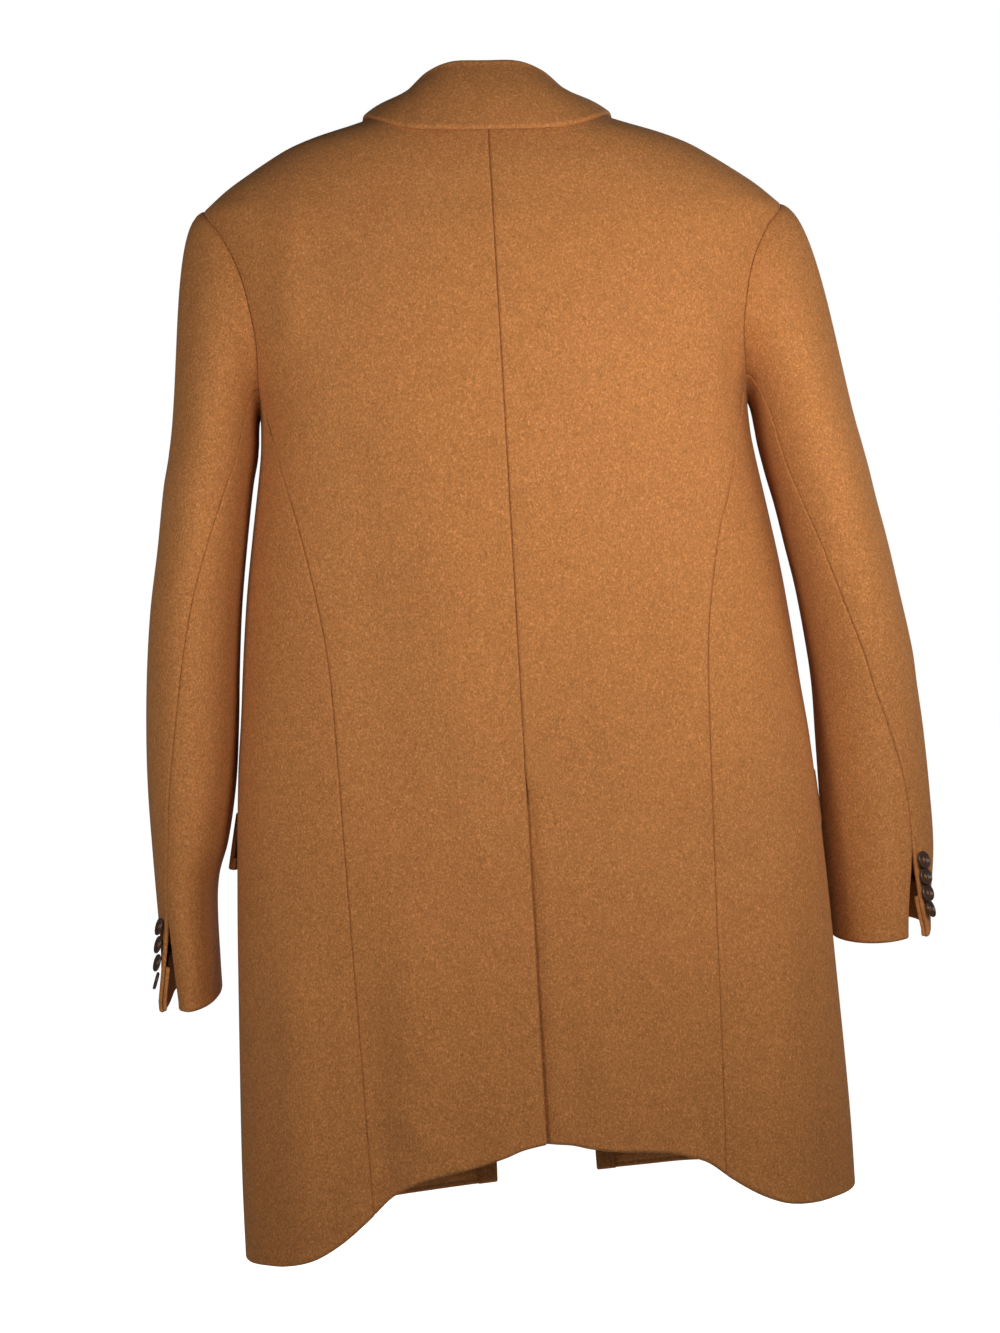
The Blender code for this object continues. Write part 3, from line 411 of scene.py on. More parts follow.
def side_surface(side):
    def surface(part, t):
        top_turn, top_z = armhole_body_turn(
            ARMHOLE_BACK_NOTCH + (ARMHOLE_FRONT_NOTCH - ARMHOLE_BACK_NOTCH) * part
        )
        turn = top_turn
        for _ in range(SEARCH_ROUNDS):
            back_hem = BACK_HEM.read("height", bare_body(turn, -920)[..., 0])
            hem = np.where(turn < HEM_JOIN_TURN, back_hem, SIDE_HEM.read("height", turn))
            z = hem * (1 - t) + top_z * t
            first = turn_at(long_seam_x("back", z), z)
            last = turn_at(long_seam_x("front", z), z, True)
            turn = first + (last - first) * part
        near = np.clip((t - (SIDE_MEETING - 1) / SIDE_MEETING) * SIDE_MEETING, 0, 1)
        turn = turn * (1 - near) + top_turn * near
        return bare_body(turn * side, z)

    return surface


def front_surface(side):
    def surface(part, t):
        _, _, corner_z = armhole_place(ARMHOLE_FRONT_NOTCH)
        share = np.clip(t, 0, 1)
        x = 40 + 150.0 * part
        for _ in range(SEARCH_ROUNDS):
            hem = SIDE_HEM.read("height", turn_at(np.maximum(x, 40), -925, True))
            z = hem * (1 - share) + (YOKE_HEIGHT + (corner_z - YOKE_HEIGHT) * part) * share
            x = roll_x(z) + (long_seam_x("front", z) - roll_x(z)) * part
        up_x, up_z = patch_place(
            part,
            np.clip(t - 1, 0, 1),
            shoulder_top,
            lambda s: ARMHOLE_FRONT_NOTCH - (270 + ARMHOLE_FRONT_NOTCH) * s,
            roll_x(YOKE_HEIGHT),
            lambda s: (
                roll_x(YOKE_HEIGHT + (NECK_HEIGHT - YOKE_HEIGHT) * s),
                YOKE_HEIGHT + (NECK_HEIGHT - YOKE_HEIGHT) * s,
            ),
        )
        x, z = np.where(t > 1, up_x, x), np.where(t > 1, up_z, z)
        x = np.minimum(x, half_width(z))
        return bare_body(turn_at(x * side, z, True), z)

    return surface


def body_normal(turn, height):
    """The way out of the body's surface."""
    round_way = bare_body(turn + 0.6, height) - bare_body(turn - 0.6, height)
    down_way = bare_body(turn, height - 2) - bare_body(turn, height + 2)
    return unit(np.cross(down_way, round_way))


def unit(vectors):
    return vectors / np.maximum(np.linalg.norm(vectors, axis=-1, keepdims=True), 1e-9)


def lapel_surface(side):
    """The turned-back lapel, up from the break to its top edge and out from the roll line."""

    def surface(part, t):
        top_z = LAPEL_TOP + (LAPEL_POINT_HEIGHT - LAPEL_TOP) * part
        z = LAPEL_START + (top_z - LAPEL_START) * t
        start_x = roll_x(z) - LAPEL_TUCK
        x = start_x + (np.maximum(LAPEL.read("edge", z), start_x + LAPEL_LEAST) - start_x) * part
        roll = LAPEL_ROLL * np.sin(math.pi * np.clip(part, 0, 1)) * t
        lift = LAYER + LAPEL_GAP + roll + LAPEL_SPREAD * part
        turn = turn_at(x * side, z, True)
        bare = bare_body(turn, z)
        return bare + body_normal(turn, z) * (lift + fold_rise(bare))[..., None]

    return surface


def neck_seam(place):
    turn = 90 * np.clip(place / COLLAR_SIDE, 0, 1)
    round_back = bare_body(turn, NECK_HEIGHT * np.sin(np.radians(turn)) ** 2)
    height = COLLAR.read("neck", place)
    down_front = bare_body(turn_at(roll_x(height), height, True), height)
    return np.where((place <= COLLAR_SIDE)[..., None], round_back, down_front)


def collar_surface(part, t):
    """The collar from its left end to its right: up the stand, over the fold and down the fall."""
    signed = 2 * part - 1
    place = np.abs(signed)
    down_front = np.clip((place - COLLAR_SIDE) / COLLAR_FRONT_FADE, 0, 1)[..., None]
    seam = neck_seam(place) + np.array((0, 0, COLLAR_SEAM_LIFT)) + np.array(COLLAR_FRONT_SHIFT) * down_front
    top = np.stack([COLLAR.read("fold_" + axis, place) for axis in "xyz"], -1)
    edge = np.stack([COLLAR.read("edge_" + axis, place) for axis in "xyz"], -1)
    away = edge - top
    away[..., 2] = 0
    away = unit(away)
    up = np.array((0.0, 0.0, 1.0))
    middle = top - up * FOLD_RADIUS
    stand, bend, fall = (np.clip(t - i, 0, 1)[..., None] for i in range(3))
    start = middle - away * FOLD_RADIUS
    angle = math.pi * (1 - bend)
    arc = middle + (away * np.cos(angle) + up * np.sin(angle)) * FOLD_RADIUS
    last = middle + away * FOLD_RADIUS
    slope = last + (edge - last) * fall + unit(away + up) * FALL_BULGE * np.sin(math.pi * fall)
    points = np.where(t[..., None] < 1, seam + (start - seam) * stand, np.where(t[..., None] < 2, arc, slope))
    points[..., 0] *= np.sign(signed)
    return points


def sleeve_ring(side, turn, height):
    table = SLEEVES[side]
    inner, outer = table.read("inner", height), table.read("outer", height)
    x = (inner + outer) / 2 + (outer - inner) / 2 * np.sin(np.radians(turn))
    y = table.read("forward", height) - table.read("half_depth", height) * np.cos(np.radians(turn))
    return np.stack([x, y, height + 0 * x], -1)


CAP_OFFSET = (0.3, 0, -0.02)  # the sleeve starts so far out from the armhole


def cap_place(side, turn, share):
    """The sleeve between the armhole and its first whole ring, rounded over at the top."""
    start = bare_body(*armhole_body_turn(turn)) + np.array(CAP_OFFSET)
    end = sleeve_ring(side, turn, SLEEVE_TOP + 0 * turn)
    below = sleeve_ring(side, turn, SLEEVE_TOP - 40 + 0 * turn)
    length = np.linalg.norm(end - start, axis=-1)[..., None]
    way = np.stack([1 + 0 * turn, -0.25 * np.cos(np.radians(turn)), -0.1 + 0 * turn], -1)
    leave = unit(way) * (length * 0.4 + 5)
    return hermite(start, leave, end, unit(below - end) * length, share[..., None])


def cuff_share(height):
    return np.clip((CUFF_VENT_TOP - height) / (CUFF_VENT_TOP - CUFF_HEIGHT), 0, 1)


def sleeve_surface(side, half):
    """The top half runs from the elbow seam round to the inseam, the under half goes on from there."""
    sign = 1 if side == "right" else -1
    table = SLEEVES[side]

    def turn_of(part, height):
        elbow = table.read("elbow", height)
        first = elbow if half == "top" else INSEAM_TURN
        last = INSEAM_TURN if half == "top" else elbow + 360
        return first + (last - first) * part

    def surface(part, t):
        share = np.clip(t, 0, 1)
        height = SLEEVE_TOP + 0 * (part + t)
        for _ in range(SEARCH_ROUNDS):
            turn = turn_of(part, height)
            cuff = CUFF_HEIGHT - CUFF_SLOPE * table.read("half_depth", CUFF_HEIGHT) * np.cos(np.radians(turn))
            height = cuff + (SLEEVE_TOP - cuff) * share
        tube = sleeve_ring(side, turn, height)
        if half == "top":
            near = np.clip(1 - part * CUFF_FLARE_FADE, 0, None)
            lift = CUFF_FLARE * cuff_share(height) ** 1.2 * near * near
            tube = tube + np.array(CUFF_FLARE_WAY) * lift[..., None]
        else:
            near = np.clip((part - 0.8) / 0.2, 0, 1)
            centre = sleeve_ring(side, 0 * turn, height)
            centre[..., 1] = tube[..., 1]
            tube = tube + unit(centre - tube) * (CUFF_TUCK * cuff_share(height) * near)[..., None]
        rise = np.clip(t - 1, 0, 1)
        cap_height = SLEEVE_TOP + (SLEEVE_HEAD - SLEEVE_TOP) * rise
        cap = cap_place(side, turn_of(part, cap_height), 1 - rise)
        points = np.where((t > 1)[..., None], cap, tube)
        points[..., 0] *= sign
        return points

    return surface


FLAP_TOP = -577.0
FLAP_DEPTH = 46.0
FLAP_SLOPE = 5.0
FLAP_TURNS = (94.0, 136.0)
FLAP_STAND_OFF = {-1: 6.5, 1: 0.8}
FLAP_CLOTH = 0.8  # share of the cloth thickness


def flap_surface(side):
    first, last = FLAP_TURNS

    def surface(part, t):
        turn = first + (last - first) * part
        z = FLAP_TOP - FLAP_DEPTH * (1 - t) - FLAP_SLOPE * part
        bare = bare_body(turn * side, z)
        out = LAYER + 0.3 + FLAP_STAND_OFF[side] * (1 - t) + fold_rise(bare)
        return bare + body_normal(turn * side, z) * out[..., None]

    return surface


# ---- Cutting and laying the cloth ----

class Edge:
    """How a piece's edge rolls in: the roll's radius, its quarter turns and how much cloth goes in."""

    def __init__(self, radius=0.0, quarters=0, allowance=0.0, gap=0.0, step=6.0):
        self.radius = radius
        self.quarters = quarters
        self.gap = gap
        self.start = gap + radius
        roll = radius * math.pi / 2 * quarters
        bend = list(np.linspace(0, roll, 3 * quarters + 1)[1:]) if quarters else []
        flat = max(1, math.ceil(allowance / step)) if allowance else 0
        self.beyond = bend + [roll + allowance * (i + 1) / flat for i in range(flat)]

    def roll(self, beyond, squeeze, quarters=None):
        """How far the cloth still reaches and how deep it lies, beyond the start of the roll."""
        radius = np.maximum(self.radius * squeeze, 1e-6)
        most = (self.quarters if quarters is None else quarters) * math.pi / 2
        angle = np.clip(beyond / radius, 0, most)
        rest = np.maximum(0, beyond - radius * most)
        reach = np.where(beyond > 0, radius * np.sin(angle) + rest * np.cos(most), beyond)
        depth = radius * (1 - np.cos(angle)) + rest * np.sin(most)
        return reach, depth


NEAR_EDGE = (0.8, 2.0, 3.8, 6.5)
NARROW = 60  # below this width, the edges roll in less
MERGE_DISTANCE = 0.00002
RAW = Edge()
SEAM = Edge(radius=1.0, quarters=1, allowance=1.4, gap=0.95)
ARMHOLE = Edge(radius=0.8, quarters=1, allowance=1.6, gap=0.35)
HEM = Edge(radius=1.9, quarters=2, allowance=38)
CUFF = Edge(radius=1.8, quarters=2, allowance=34)
TURNED = Edge(radius=1.7, quarters=2, allowance=14)


def line_up(low, high, counts, knots):
    """Places in a row of the grid: each is a share of the whole plus a distance.

    Between the edges and the knots, whose places are shares, it has as many steps as counts says.
    """
    near = NEAR_EDGE if low.radius else ()
    first = [(0.0, low.start - beyond) for beyond in reversed(low.beyond)]
    first += [(0.0, low.start + distance) for distance in (0.0, *near)]
    near = NEAR_EDGE if high.radius else ()
    last = [(1.0, -high.start - distance) for distance in (*reversed(near), 0.0)]
    last += [(1.0, beyond - high.start) for beyond in high.beyond]
    anchors = [first[-1], *[(knot, 0.0) for knot in knots], last[0]]
    line = first[:-1]
    for (share, offset), (next_share, next_offset), count in zip(anchors, anchors[1:], counts):
        for i in range(count):
            part = i / count
            line.append((share + (next_share - share) * part, offset + (next_offset - offset) * part))
    return np.array(line + last)


MEASURE_STEPS = 72


def run(steps, axis):
    """Distance run from the first place, along an axis of a grid of steps."""
    start = np.zeros_like(np.take(steps, [0], axis))
    return np.concatenate([start, np.cumsum(steps, axis)], axis)


def measure(surface, stretches):
    """The distances run across and up the piece, at places that lie closer together near its edges."""
    crowded = (1 - np.cos(np.linspace(0, math.pi, MEASURE_STEPS + 1))) / 2
    ups = np.concatenate([[0.0], *[crowded[1:] + i for i in range(stretches)]])
    grid = surface(*np.meshgrid(crowded, ups))
    across = run(np.linalg.norm(np.diff(grid, axis=1), axis=-1), 1)
    along = run(np.linalg.norm(np.diff(grid, axis=0), axis=-1), 0)
    return crowded, ups, across, along


def normals(surface, part, t, stretches, outside):
    step = 0.006
    lowest = min(0.0, float(np.min(part)))
    ahead = surface(np.minimum(part + step, 1), t) - surface(np.maximum(part - step, lowest), t)
    upward = surface(part, np.minimum(t + step, stretches)) - surface(part, np.maximum(t - step, 0))
    way = unit(np.cross(ahead, upward))
    towards = (way * (np.array(outside) - surface(part, t))).sum()
    return way if towards > 0 else -way


class Cut:
    """One piece of cloth: its surface, its four edges and how finely it is cut."""

    def __init__(self, surface, outside, low, high, bottom, top, across, along, stretches=1, knots=()):
        self.surface, self.outside, self.stretches = surface, outside, stretches
        self.low, self.high, self.bottom, self.top = low, high, bottom, top
        self.columns = line_up(low, high, across, knots)
        self.rows = line_up(bottom, top, along, [(i + 1) / stretches for i in range(stretches - 1)])
        self.parts, self.ups, self.across, self.along = measure(surface, stretches)

    def share_across(self, nominal, at):
        """The surface's own share at a distance across each row."""
        part = np.empty(at.shape)
        for i, up in enumerate(nominal):
            reached = [np.interp(up, self.ups, column) for column in self.across.T]
            part[i] = np.interp(at[i], reached, self.parts)
            part[i] += np.minimum(at[i], 0) * self.parts[1] / max(reached[1], 1e-6)
        return part

    def length_at(self, part, up):
        """The distance run up to a place, at each share across."""
        return np.interp(part, self.parts, [np.interp(up, self.ups, column) for column in self.along.T])

    def share_up(self, part, height):
        """The surface's own share at a distance up the piece."""
        place = np.interp(part, self.parts, np.arange(len(self.parts)))
        low = np.minimum(place.astype(int), len(self.parts) - 2)
        side = (place - low)[..., None]
        reached = self.along.T[low] * (1 - side) + self.along.T[low + 1] * side
        index = np.clip((reached <= height[..., None]).sum(-1) - 1, 0, len(self.ups) - 2)
        start = np.take_along_axis(reached, index[..., None], -1)[..., 0]
        end = np.take_along_axis(reached, index[..., None] + 1, -1)[..., 0]
        step = np.clip((height - start) / np.maximum(end - start, 1e-9), 0, 1)
        return self.ups[index] + (self.ups[index + 1] - self.ups[index]) * step

    def lay(self, relief=None, sink=0.0, low_quarters=None, rows=None, columns=None):
        """Places of the grid, and of its flat cut, with every edge rolled in."""
        rows = self.rows if rows is None else rows
        columns = self.columns if columns is None else columns
        nominal = np.clip(rows[:, 0], 0, 1) * self.stretches
        width = np.interp(nominal, self.ups, self.across[:, -1])[:, None]
        squeeze = np.minimum(1, width / NARROW)
        a = columns[None, :, 0] * width + columns[None, :, 1] * squeeze
        low_start, high_start = self.low.start * squeeze, self.high.start * squeeze
        beyond = low_start - a
        quarters = None if low_quarters is None else low_quarters(nominal)[:, None]
        reach, depth = self.low.roll(beyond, squeeze, quarters)
        at = low_start - reach
        far, far_depth = self.high.roll(a - (width - high_start), squeeze)
        at = np.where(beyond > 0, at, np.where(a > width - high_start, width - high_start + far, a))
        part = self.share_across(nominal, at)
        depth = depth + far_depth

        marks = [self.length_at(part, stretch) for stretch in range(self.stretches + 1)]
        position = rows[:, 0] * self.stretches
        whole = np.clip(np.floor(position), 0, self.stretches - 1).astype(int)
        b = np.empty(part.shape)
        for i, stretch in enumerate(whole):
            step = marks[stretch + 1][i] - marks[stretch][i]
            b[i] = marks[stretch][i] + (position[i] - stretch) * step + rows[i, 1]
        length = marks[-1]
        down, down_depth = self.bottom.roll(self.bottom.start - b, 1.0)
        up, up_depth = self.top.roll(b - (length - self.top.start), 1.0)
        height = np.where(b < self.bottom.start, self.bottom.start - down, b)
        height = np.where(b > length - self.top.start, length - self.top.start + up, height)
        depth = depth + down_depth + up_depth
        t = self.share_up(part, height)
        bare = self.surface(part, t)
        out = -depth - sink
        if relief is not None:
            out = out + relief(bare)
        way = normals(self.surface, part, t, self.stretches, self.outside)
        return bare + way * out[..., None], np.stack([a, b], -1)


def path_length(points, axis):
    return np.linalg.norm(np.diff(points, axis=axis), axis=-1).sum(axis)


def sheet_area(points):
    first = np.cross(points[1:, :-1] - points[:-1, :-1], points[:-1, 1:] - points[:-1, :-1])
    second = np.cross(points[1:, :-1] - points[1:, 1:], points[:-1, 1:] - points[1:, 1:])
    return (np.linalg.norm(first, axis=-1) + np.linalg.norm(second, axis=-1)).sum() / 2


def add_piece(name, work, finish):
    """Puts a finished bmesh into the scene, as an object of that finish."""
    mesh = bpy.data.meshes.new(name)
    work.to_mesh(mesh)
    work.free()
    mesh.materials.append(finish)
    piece = bpy.data.objects.new(name, mesh)
    bpy.context.scene.collection.objects.link(piece)
    return piece


def declare(piece, nodes=()):
    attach(piece, "root")
    if nodes:
        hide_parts(*nodes)


def sew(name, grids, outside, thickness, finish, nodes=()):
    """Makes one sheet of cloth from laid grids that share a border, and keeps its flat cut in the UV map
    named cut.
    """
    work = bmesh.new()
    uv = work.loops.layers.uv.new("cut")
    flat = {}
    for points, cut in grids:
        placed = settle(points) * MM
        rows, columns = placed.shape[:2]
        made = bmesh.ops.create_grid(work, x_segments=columns - 1, y_segments=rows - 1, size=1)["verts"]
        for vert in made:
            i = round((vert.co.y + 1) / 2 * (rows - 1))
            j = round((vert.co.x + 1) / 2 * (columns - 1))
            vert.co = placed[i, j]
            flat[vert] = cut[i, j] * MM
    for face in work.faces:
        face.smooth = True
        for loop in face.loops:
            loop[uv].uv = flat[loop.vert]
    bmesh.ops.remove_doubles(work, verts=work.verts, dist=MERGE_DISTANCE)
    bmesh.ops.recalc_face_normals(work, faces=work.faces)
    towards = sum(
        face.calc_area() * face.normal.dot((Vector(outside) * MM - face.calc_center_median()).normalized())
        for face in work.faces
    )
    if towards < 0:
        bmesh.ops.reverse_faces(work, faces=work.faces)
    piece = add_piece(name, work, finish)
    wall = piece.modifiers.new("Cloth", "SOLIDIFY")
    wall.thickness = thickness * MM
    wall.offset = 0.0
    wall.use_quality_normals = True
    declare(piece, nodes)
    points = grids[0][0]
    width = float(path_length(points, 1).max()) * MM
    length = float(path_length(points, 0).max()) * MM
    area = sum(float(sheet_area(grid)) for grid, _ in grids) * MM * MM
    width *= max(1.0, area / (width * length))
    return piece


def sew_wool(name, grids, outside, share=1.0):
    """Sews the wool of the frame's node of that name; share is its part of the cloth's thickness."""
    thickness = bpy.context.scene.overcoat.cloth_thickness * share
    return sew(name + "_wool", grids, outside, thickness, finish("wool"), [name])


# ---- Finishes ----

def link(tree, source, target):
    tree.links.new(source, target)


def node(tree, kind, **values):
    made = tree.nodes.new(kind)
    for key, value in values.items():
        if key.startswith("in_"):
            made.inputs[key[3:].replace("_", " ")].default_value = value
        else:
            setattr(made, key, value)
    return made


def group(name, inputs, outputs):
    tree = bpy.data.node_groups.new(name, "ShaderNodeTree")
    for label, kind, value in inputs:
        socket = tree.interface.new_socket(name=label, in_out="INPUT", socket_type=kind)
        if value is not None:
            socket.default_value = value
    for label, kind in outputs:
        tree.interface.new_socket(name=label, in_out="OUTPUT", socket_type=kind)
    return tree, tree.nodes.new("NodeGroupInput"), tree.nodes.new("NodeGroupOutput")


def noise(tree, vector, scale, detail=2.0, roughness=0.5):
    made = node(tree, "ShaderNodeTexNoise", in_Scale=scale, in_Detail=detail, in_Roughness=roughness)
    link(tree, vector, made.inputs["Vector"])
    return made.outputs["Fac"]


def remap(tree, value, low, high, start=0.0, end=1.0):
    made = node(tree, "ShaderNodeMapRange")
    for label, number in (("From Min", low), ("From Max", high), ("To Min", start), ("To Max", end)):
        made.inputs[label].default_value = number
    link(tree, value, made.inputs["Value"])
    return made.outputs["Result"]


def blend(tree, factor, first, second):
    made = node(tree, "ShaderNodeMix", data_type="RGBA")
    for source, label in ((factor, 0), (first, 6), (second, 7)):
        if isinstance(source, (float, int, tuple)):
            made.inputs[label].default_value = source
        else:
            link(tree, source, made.inputs[label])
    return made.outputs[2]


def maths(tree, operation, first, second):
    made = node(tree, "ShaderNodeMath", operation=operation)
    for source, label in ((first, 0), (second, 1)):
        if isinstance(source, (float, int)):
            made.inputs[label].default_value = source
        else:
            link(tree, source, made.inputs[label])
    return made.outputs["Value"]


def nap_group():
    """Brushed wool: pale and dark fibres over a mottled ground, and the height of the nap."""
    tree, given, out = group(
        "Brushed wool",
        (
            ("Vector", "NodeSocketVector", None),
            ("Ground", "NodeSocketColor", (0.4, 0.17, 0.06, 1)),
            ("Pale", "NodeSocketColor", (0.7, 0.4, 0.2, 1)),
            ("Deep", "NodeSocketColor", (0.2, 0.08, 0.03, 1)),
        ),
        (("Colour", "NodeSocketColor"), ("Nap", "NodeSocketFloat")),
    )
    place = given.outputs["Vector"]
    brushed = node(tree, "ShaderNodeMapping")
    brushed.inputs["Scale"].default_value = (1.0, 1.0, 0.55)
    link(tree, place, brushed.inputs["Vector"])
    fibres = noise(tree, brushed.outputs["Vector"], 900.0, 2.0, 0.6)
    specks = noise(tree, place, 560.0, 2.0, 0.55)
    clumps = noise(tree, place, 210.0, 3.0, 0.6)
    mottle = noise(tree, place, 45.0, 3.0, 0.6)
    tone = noise(tree, place, 8.0, 2.0, 0.5)
    colour, pale, deep = (given.outputs[label] for label in ("Ground", "Pale", "Deep"))
    for pattern, low, high, most, tint in (
        (tone, 0.35, 0.7, 0.12, deep), (mottle, 0.35, 0.7, 0.14, deep),
        (clumps, 0.5, 0.7, 0.18, pale), (clumps, 0.5, 0.3, 0.2, deep),
        (specks, 0.55, 0.74, 0.75, pale), (specks, 0.44, 0.3, 0.45, deep),
        (fibres, 0.44, 0.28, 0.8, deep), (fibres, 0.56, 0.74, 0.6, pale),
    ):
        colour = blend(tree, remap(tree, pattern, low, high, 0.0, most), colour, tint)
    nap = maths(tree, "ADD", fibres, maths(tree, "MULTIPLY", specks, 1.2))
    link(tree, colour, out.inputs["Colour"])
    link(tree, nap, out.inputs["Nap"])
    return tree


def new_finish(name):
    """A new material, with its node tree and its shader."""
    made = bpy.data.materials.new(name)
    made.use_nodes = True
    return made, made.node_tree, made.node_tree.nodes["Principled BSDF"]


def wool(name, ground, pale, deep, nap_tree):
    made, tree, shader = new_finish(name)
    place = node(tree, "ShaderNodeTexCoord").outputs["Object"]
    brushed = node(tree, "ShaderNodeGroup", node_tree=nap_tree, in_Ground=ground, in_Pale=pale, in_Deep=deep)
    link(tree, place, brushed.inputs["Vector"])
    link(tree, brushed.outputs["Colour"], shader.inputs["Base Color"])
    bump = node(tree, "ShaderNodeBump", in_Strength=0.55, in_Distance=0.0006)
    link(tree, brushed.outputs["Nap"], bump.inputs["Height"])
    link(tree, bump.outputs["Normal"], shader.inputs["Normal"])
    shader.inputs["Roughness"].default_value = 0.95
    shader.inputs["Specular IOR Level"].default_value = 0.15
    shader.inputs["Sheen Weight"].default_value = 0.12
    shader.inputs["Sheen Roughness"].default_value = 0.5
    shader.inputs["Sheen Tint"].default_value = (1.0, 0.72, 0.48, 1.0)
    return made


def lining_cloth(name, colour):
    """A smooth dark lining with a fine diagonal twill."""
    made, tree, shader = new_finish(name)
    cut = node(tree, "ShaderNodeUVMap", uv_map="cut").outputs["UV"]
    twill = node(tree, "ShaderNodeTexWave", wave_type="BANDS", bands_direction="DIAGONAL", in_Scale=420.0)
    twill.inputs["Distortion"].default_value = 0.4
    link(tree, cut, twill.inputs["Vector"])
    creases = noise(tree, cut, 26.0, 3.0)
    lighter = tuple(min(1.0, value * 1.9 + 0.004) for value in colour[:3]) + (1.0,)
    shade = blend(tree, remap(tree, twill.outputs["Fac"], 0.2, 0.9, 0.0, 0.6), colour, lighter)
    link(tree, shade, shader.inputs["Base Color"])
    link(tree, remap(tree, creases, 0.3, 0.7, 0.34, 0.5), shader.inputs["Roughness"])
    bump = node(tree, "ShaderNodeBump", in_Strength=0.3, in_Distance=0.0003)
    link(tree, twill.outputs["Fac"], bump.inputs["Height"])
    link(tree, bump.outputs["Normal"], shader.inputs["Normal"])
    return made


def horn(name, colour):
    """Polished horn with pale streaks."""
    made, tree, shader = new_finish(name)
    place = node(tree, "ShaderNodeTexCoord").outputs["Object"]
    drawn = node(tree, "ShaderNodeMapping")
    drawn.inputs["Scale"].default_value = (1.0, 1.0, 3.0)
    link(tree, place, drawn.inputs["Vector"])
    streaks = noise(tree, drawn.outputs["Vector"], 170.0, 4.0, 0.6)
    pale = (0.09, 0.045, 0.02, 1.0)
    shade = blend(tree, remap(tree, streaks, 0.5, 0.72, 0.0, 0.8), colour, pale)
    link(tree, shade, shader.inputs["Base Color"])
    link(tree, remap(tree, streaks, 0.3, 0.7, 0.16, 0.28), shader.inputs["Roughness"])
    shader.inputs["Coat Weight"].default_value = 0.4
    return made


THREAD_SHADE = 0.82


def finish(name):
    """The finish of that name, made the first time it is asked for."""
    found = bpy.data.materials.get(name)
    if found:
        return found
    look = bpy.context.scene.overcoat
    if name == "horn":
        return horn("horn", tuple(look.horn_colour) + (1.0,))
    if name == "lining":
        return lining_cloth("lining", tuple(look.lining_colour) + (1.0,))
    tree = bpy.data.node_groups.get("Brushed wool") or nap_group()
    ground = tuple(look.wool_colour)
    shade = THREAD_SHADE if name == "wool_thread" else 1.0
    return wool(
        name,
        tuple(value * shade for value in ground) + (1.0,),
        tuple(min(1.0, value * 1.55 * shade + 0.02) for value in ground) + (1.0,),
        tuple(value * 0.5 * shade for value in ground) + (1.0,),
        tree,
    )


# ---- Settings ----

class OvercoatSettings(bpy.types.PropertyGroup):
    cloth_thickness: bpy.props.FloatProperty(
        name="Cloth thickness", description="Thickness of one layer of wool, in millimetres",
        default=1.9, min=0.5, max=4.0,
    )
    lining_thickness: bpy.props.FloatProperty(
        name="Lining thickness", description="Thickness of the lining, in millimetres",
        default=0.5, min=0.2, max=1.5,
    )
    wool_colour: bpy.props.FloatVectorProperty(
        name="Wool", description="Ground colour of the brushed wool",
        subtype="COLOR", size=3, min=0.0, max=1.0, default=(0.50, 0.205, 0.064),
    )
    lining_colour: bpy.props.FloatVectorProperty(
        name="Lining", description="Colour of the lining",
        subtype="COLOR", size=3, min=0.0, max=1.0, default=(0.012, 0.009, 0.008),
    )
    horn_colour: bpy.props.FloatVectorProperty(
        name="Horn", description="Colour of the buttons",
        subtype="COLOR", size=3, min=0.0, max=1.0, default=(0.012, 0.008, 0.006),
    )
    floor_height: bpy.props.FloatProperty(
        name="Floor height", description="Height of the floor under the coat",
        default=-1.32, subtype="DISTANCE", unit="LENGTH",
    )


# ---- Body pieces ----

def side_name(side):
    return "right" if side > 0 else "left"


BEHIND = (0, -3000, -450)
AHEAD = (0, 3000, -450)
VENT_EDGE = Edge(radius=1.2, quarters=1, allowance=1.9, gap=0.95)
VENT_EASE = 12  # height over which the vent opens
OVERLAP_RISE, OVERLAP_WIDTH = 1.6, 16
UNDERLAP_DROP, UNDERLAP_WIDTH, UNDERLAP_EASE = 4.6, 11, 22


def beside(side):
    return 3000 * side, 0, -600


def vent_share(height):
    """0 above the vent and 1 below its top."""
    return eased((VENT_TOP - height) / VENT_EASE)


def make_back(side):
    cut = Cut(back_surface(side), BEHIND, VENT_EDGE, SEAM, HEM, SEAM, (20, 26), (120, 46), 2, (NECK_SHARE,))
    hem = BACK_HEM.read("height", 0)

    def quarters(nominal):
        height = hem + (YOKE_HEIGHT - hem) * np.minimum(nominal, 1)
        opened = np.where(nominal < 1, vent_share(height), 0)
        return 1 + opened if side < 0 else 1 - opened

    def relief(bare):
        rise = body_relief(bare)
        x, z = np.abs(bare[..., 0]), bare[..., 2]
        if side < 0:
            away = np.clip((VENT_TOP - 60 - z) / 200, 0, 1)
            return rise + OVERLAP_RISE * away * np.exp(-((x / OVERLAP_WIDTH) ** 2))
        drop = np.clip((VENT_TOP + UNDERLAP_EASE - z) / UNDERLAP_EASE, 0, 1)
        near = eased((UNDERLAP_WIDTH - bare[..., 0]) / UNDERLAP_WIDTH)
        return rise - UNDERLAP_DROP * drop * near

    points, flat = cut.lay(relief, low_quarters=quarters)
    below = np.flatnonzero(points[:, len(VENT_EDGE.beyond), 2] < VENT_TOP - VENT_EASE)
    columns = np.array([(0.0, VENT_EDGE.start - VENT_EDGE.beyond[-1] - step)
                        for step in np.linspace(VENT_WIDTH, 0, 12)])
    strip, strip_flat = cut.lay(relief, low_quarters=quarters, rows=cut.rows[below], columns=columns)
    strip[:, -1] = points[below, 0]
    sew_wool("back_" + side_name(side), [(points, flat), (strip, strip_flat)], BEHIND)


def make_side(side):
    cut = Cut(side_surface(side), beside(side), SEAM, SEAM, HEM, SEAM, (44,), (132,))
    sew_wool("side_" + side_name(side), [cut.lay(body_relief)], beside(side))


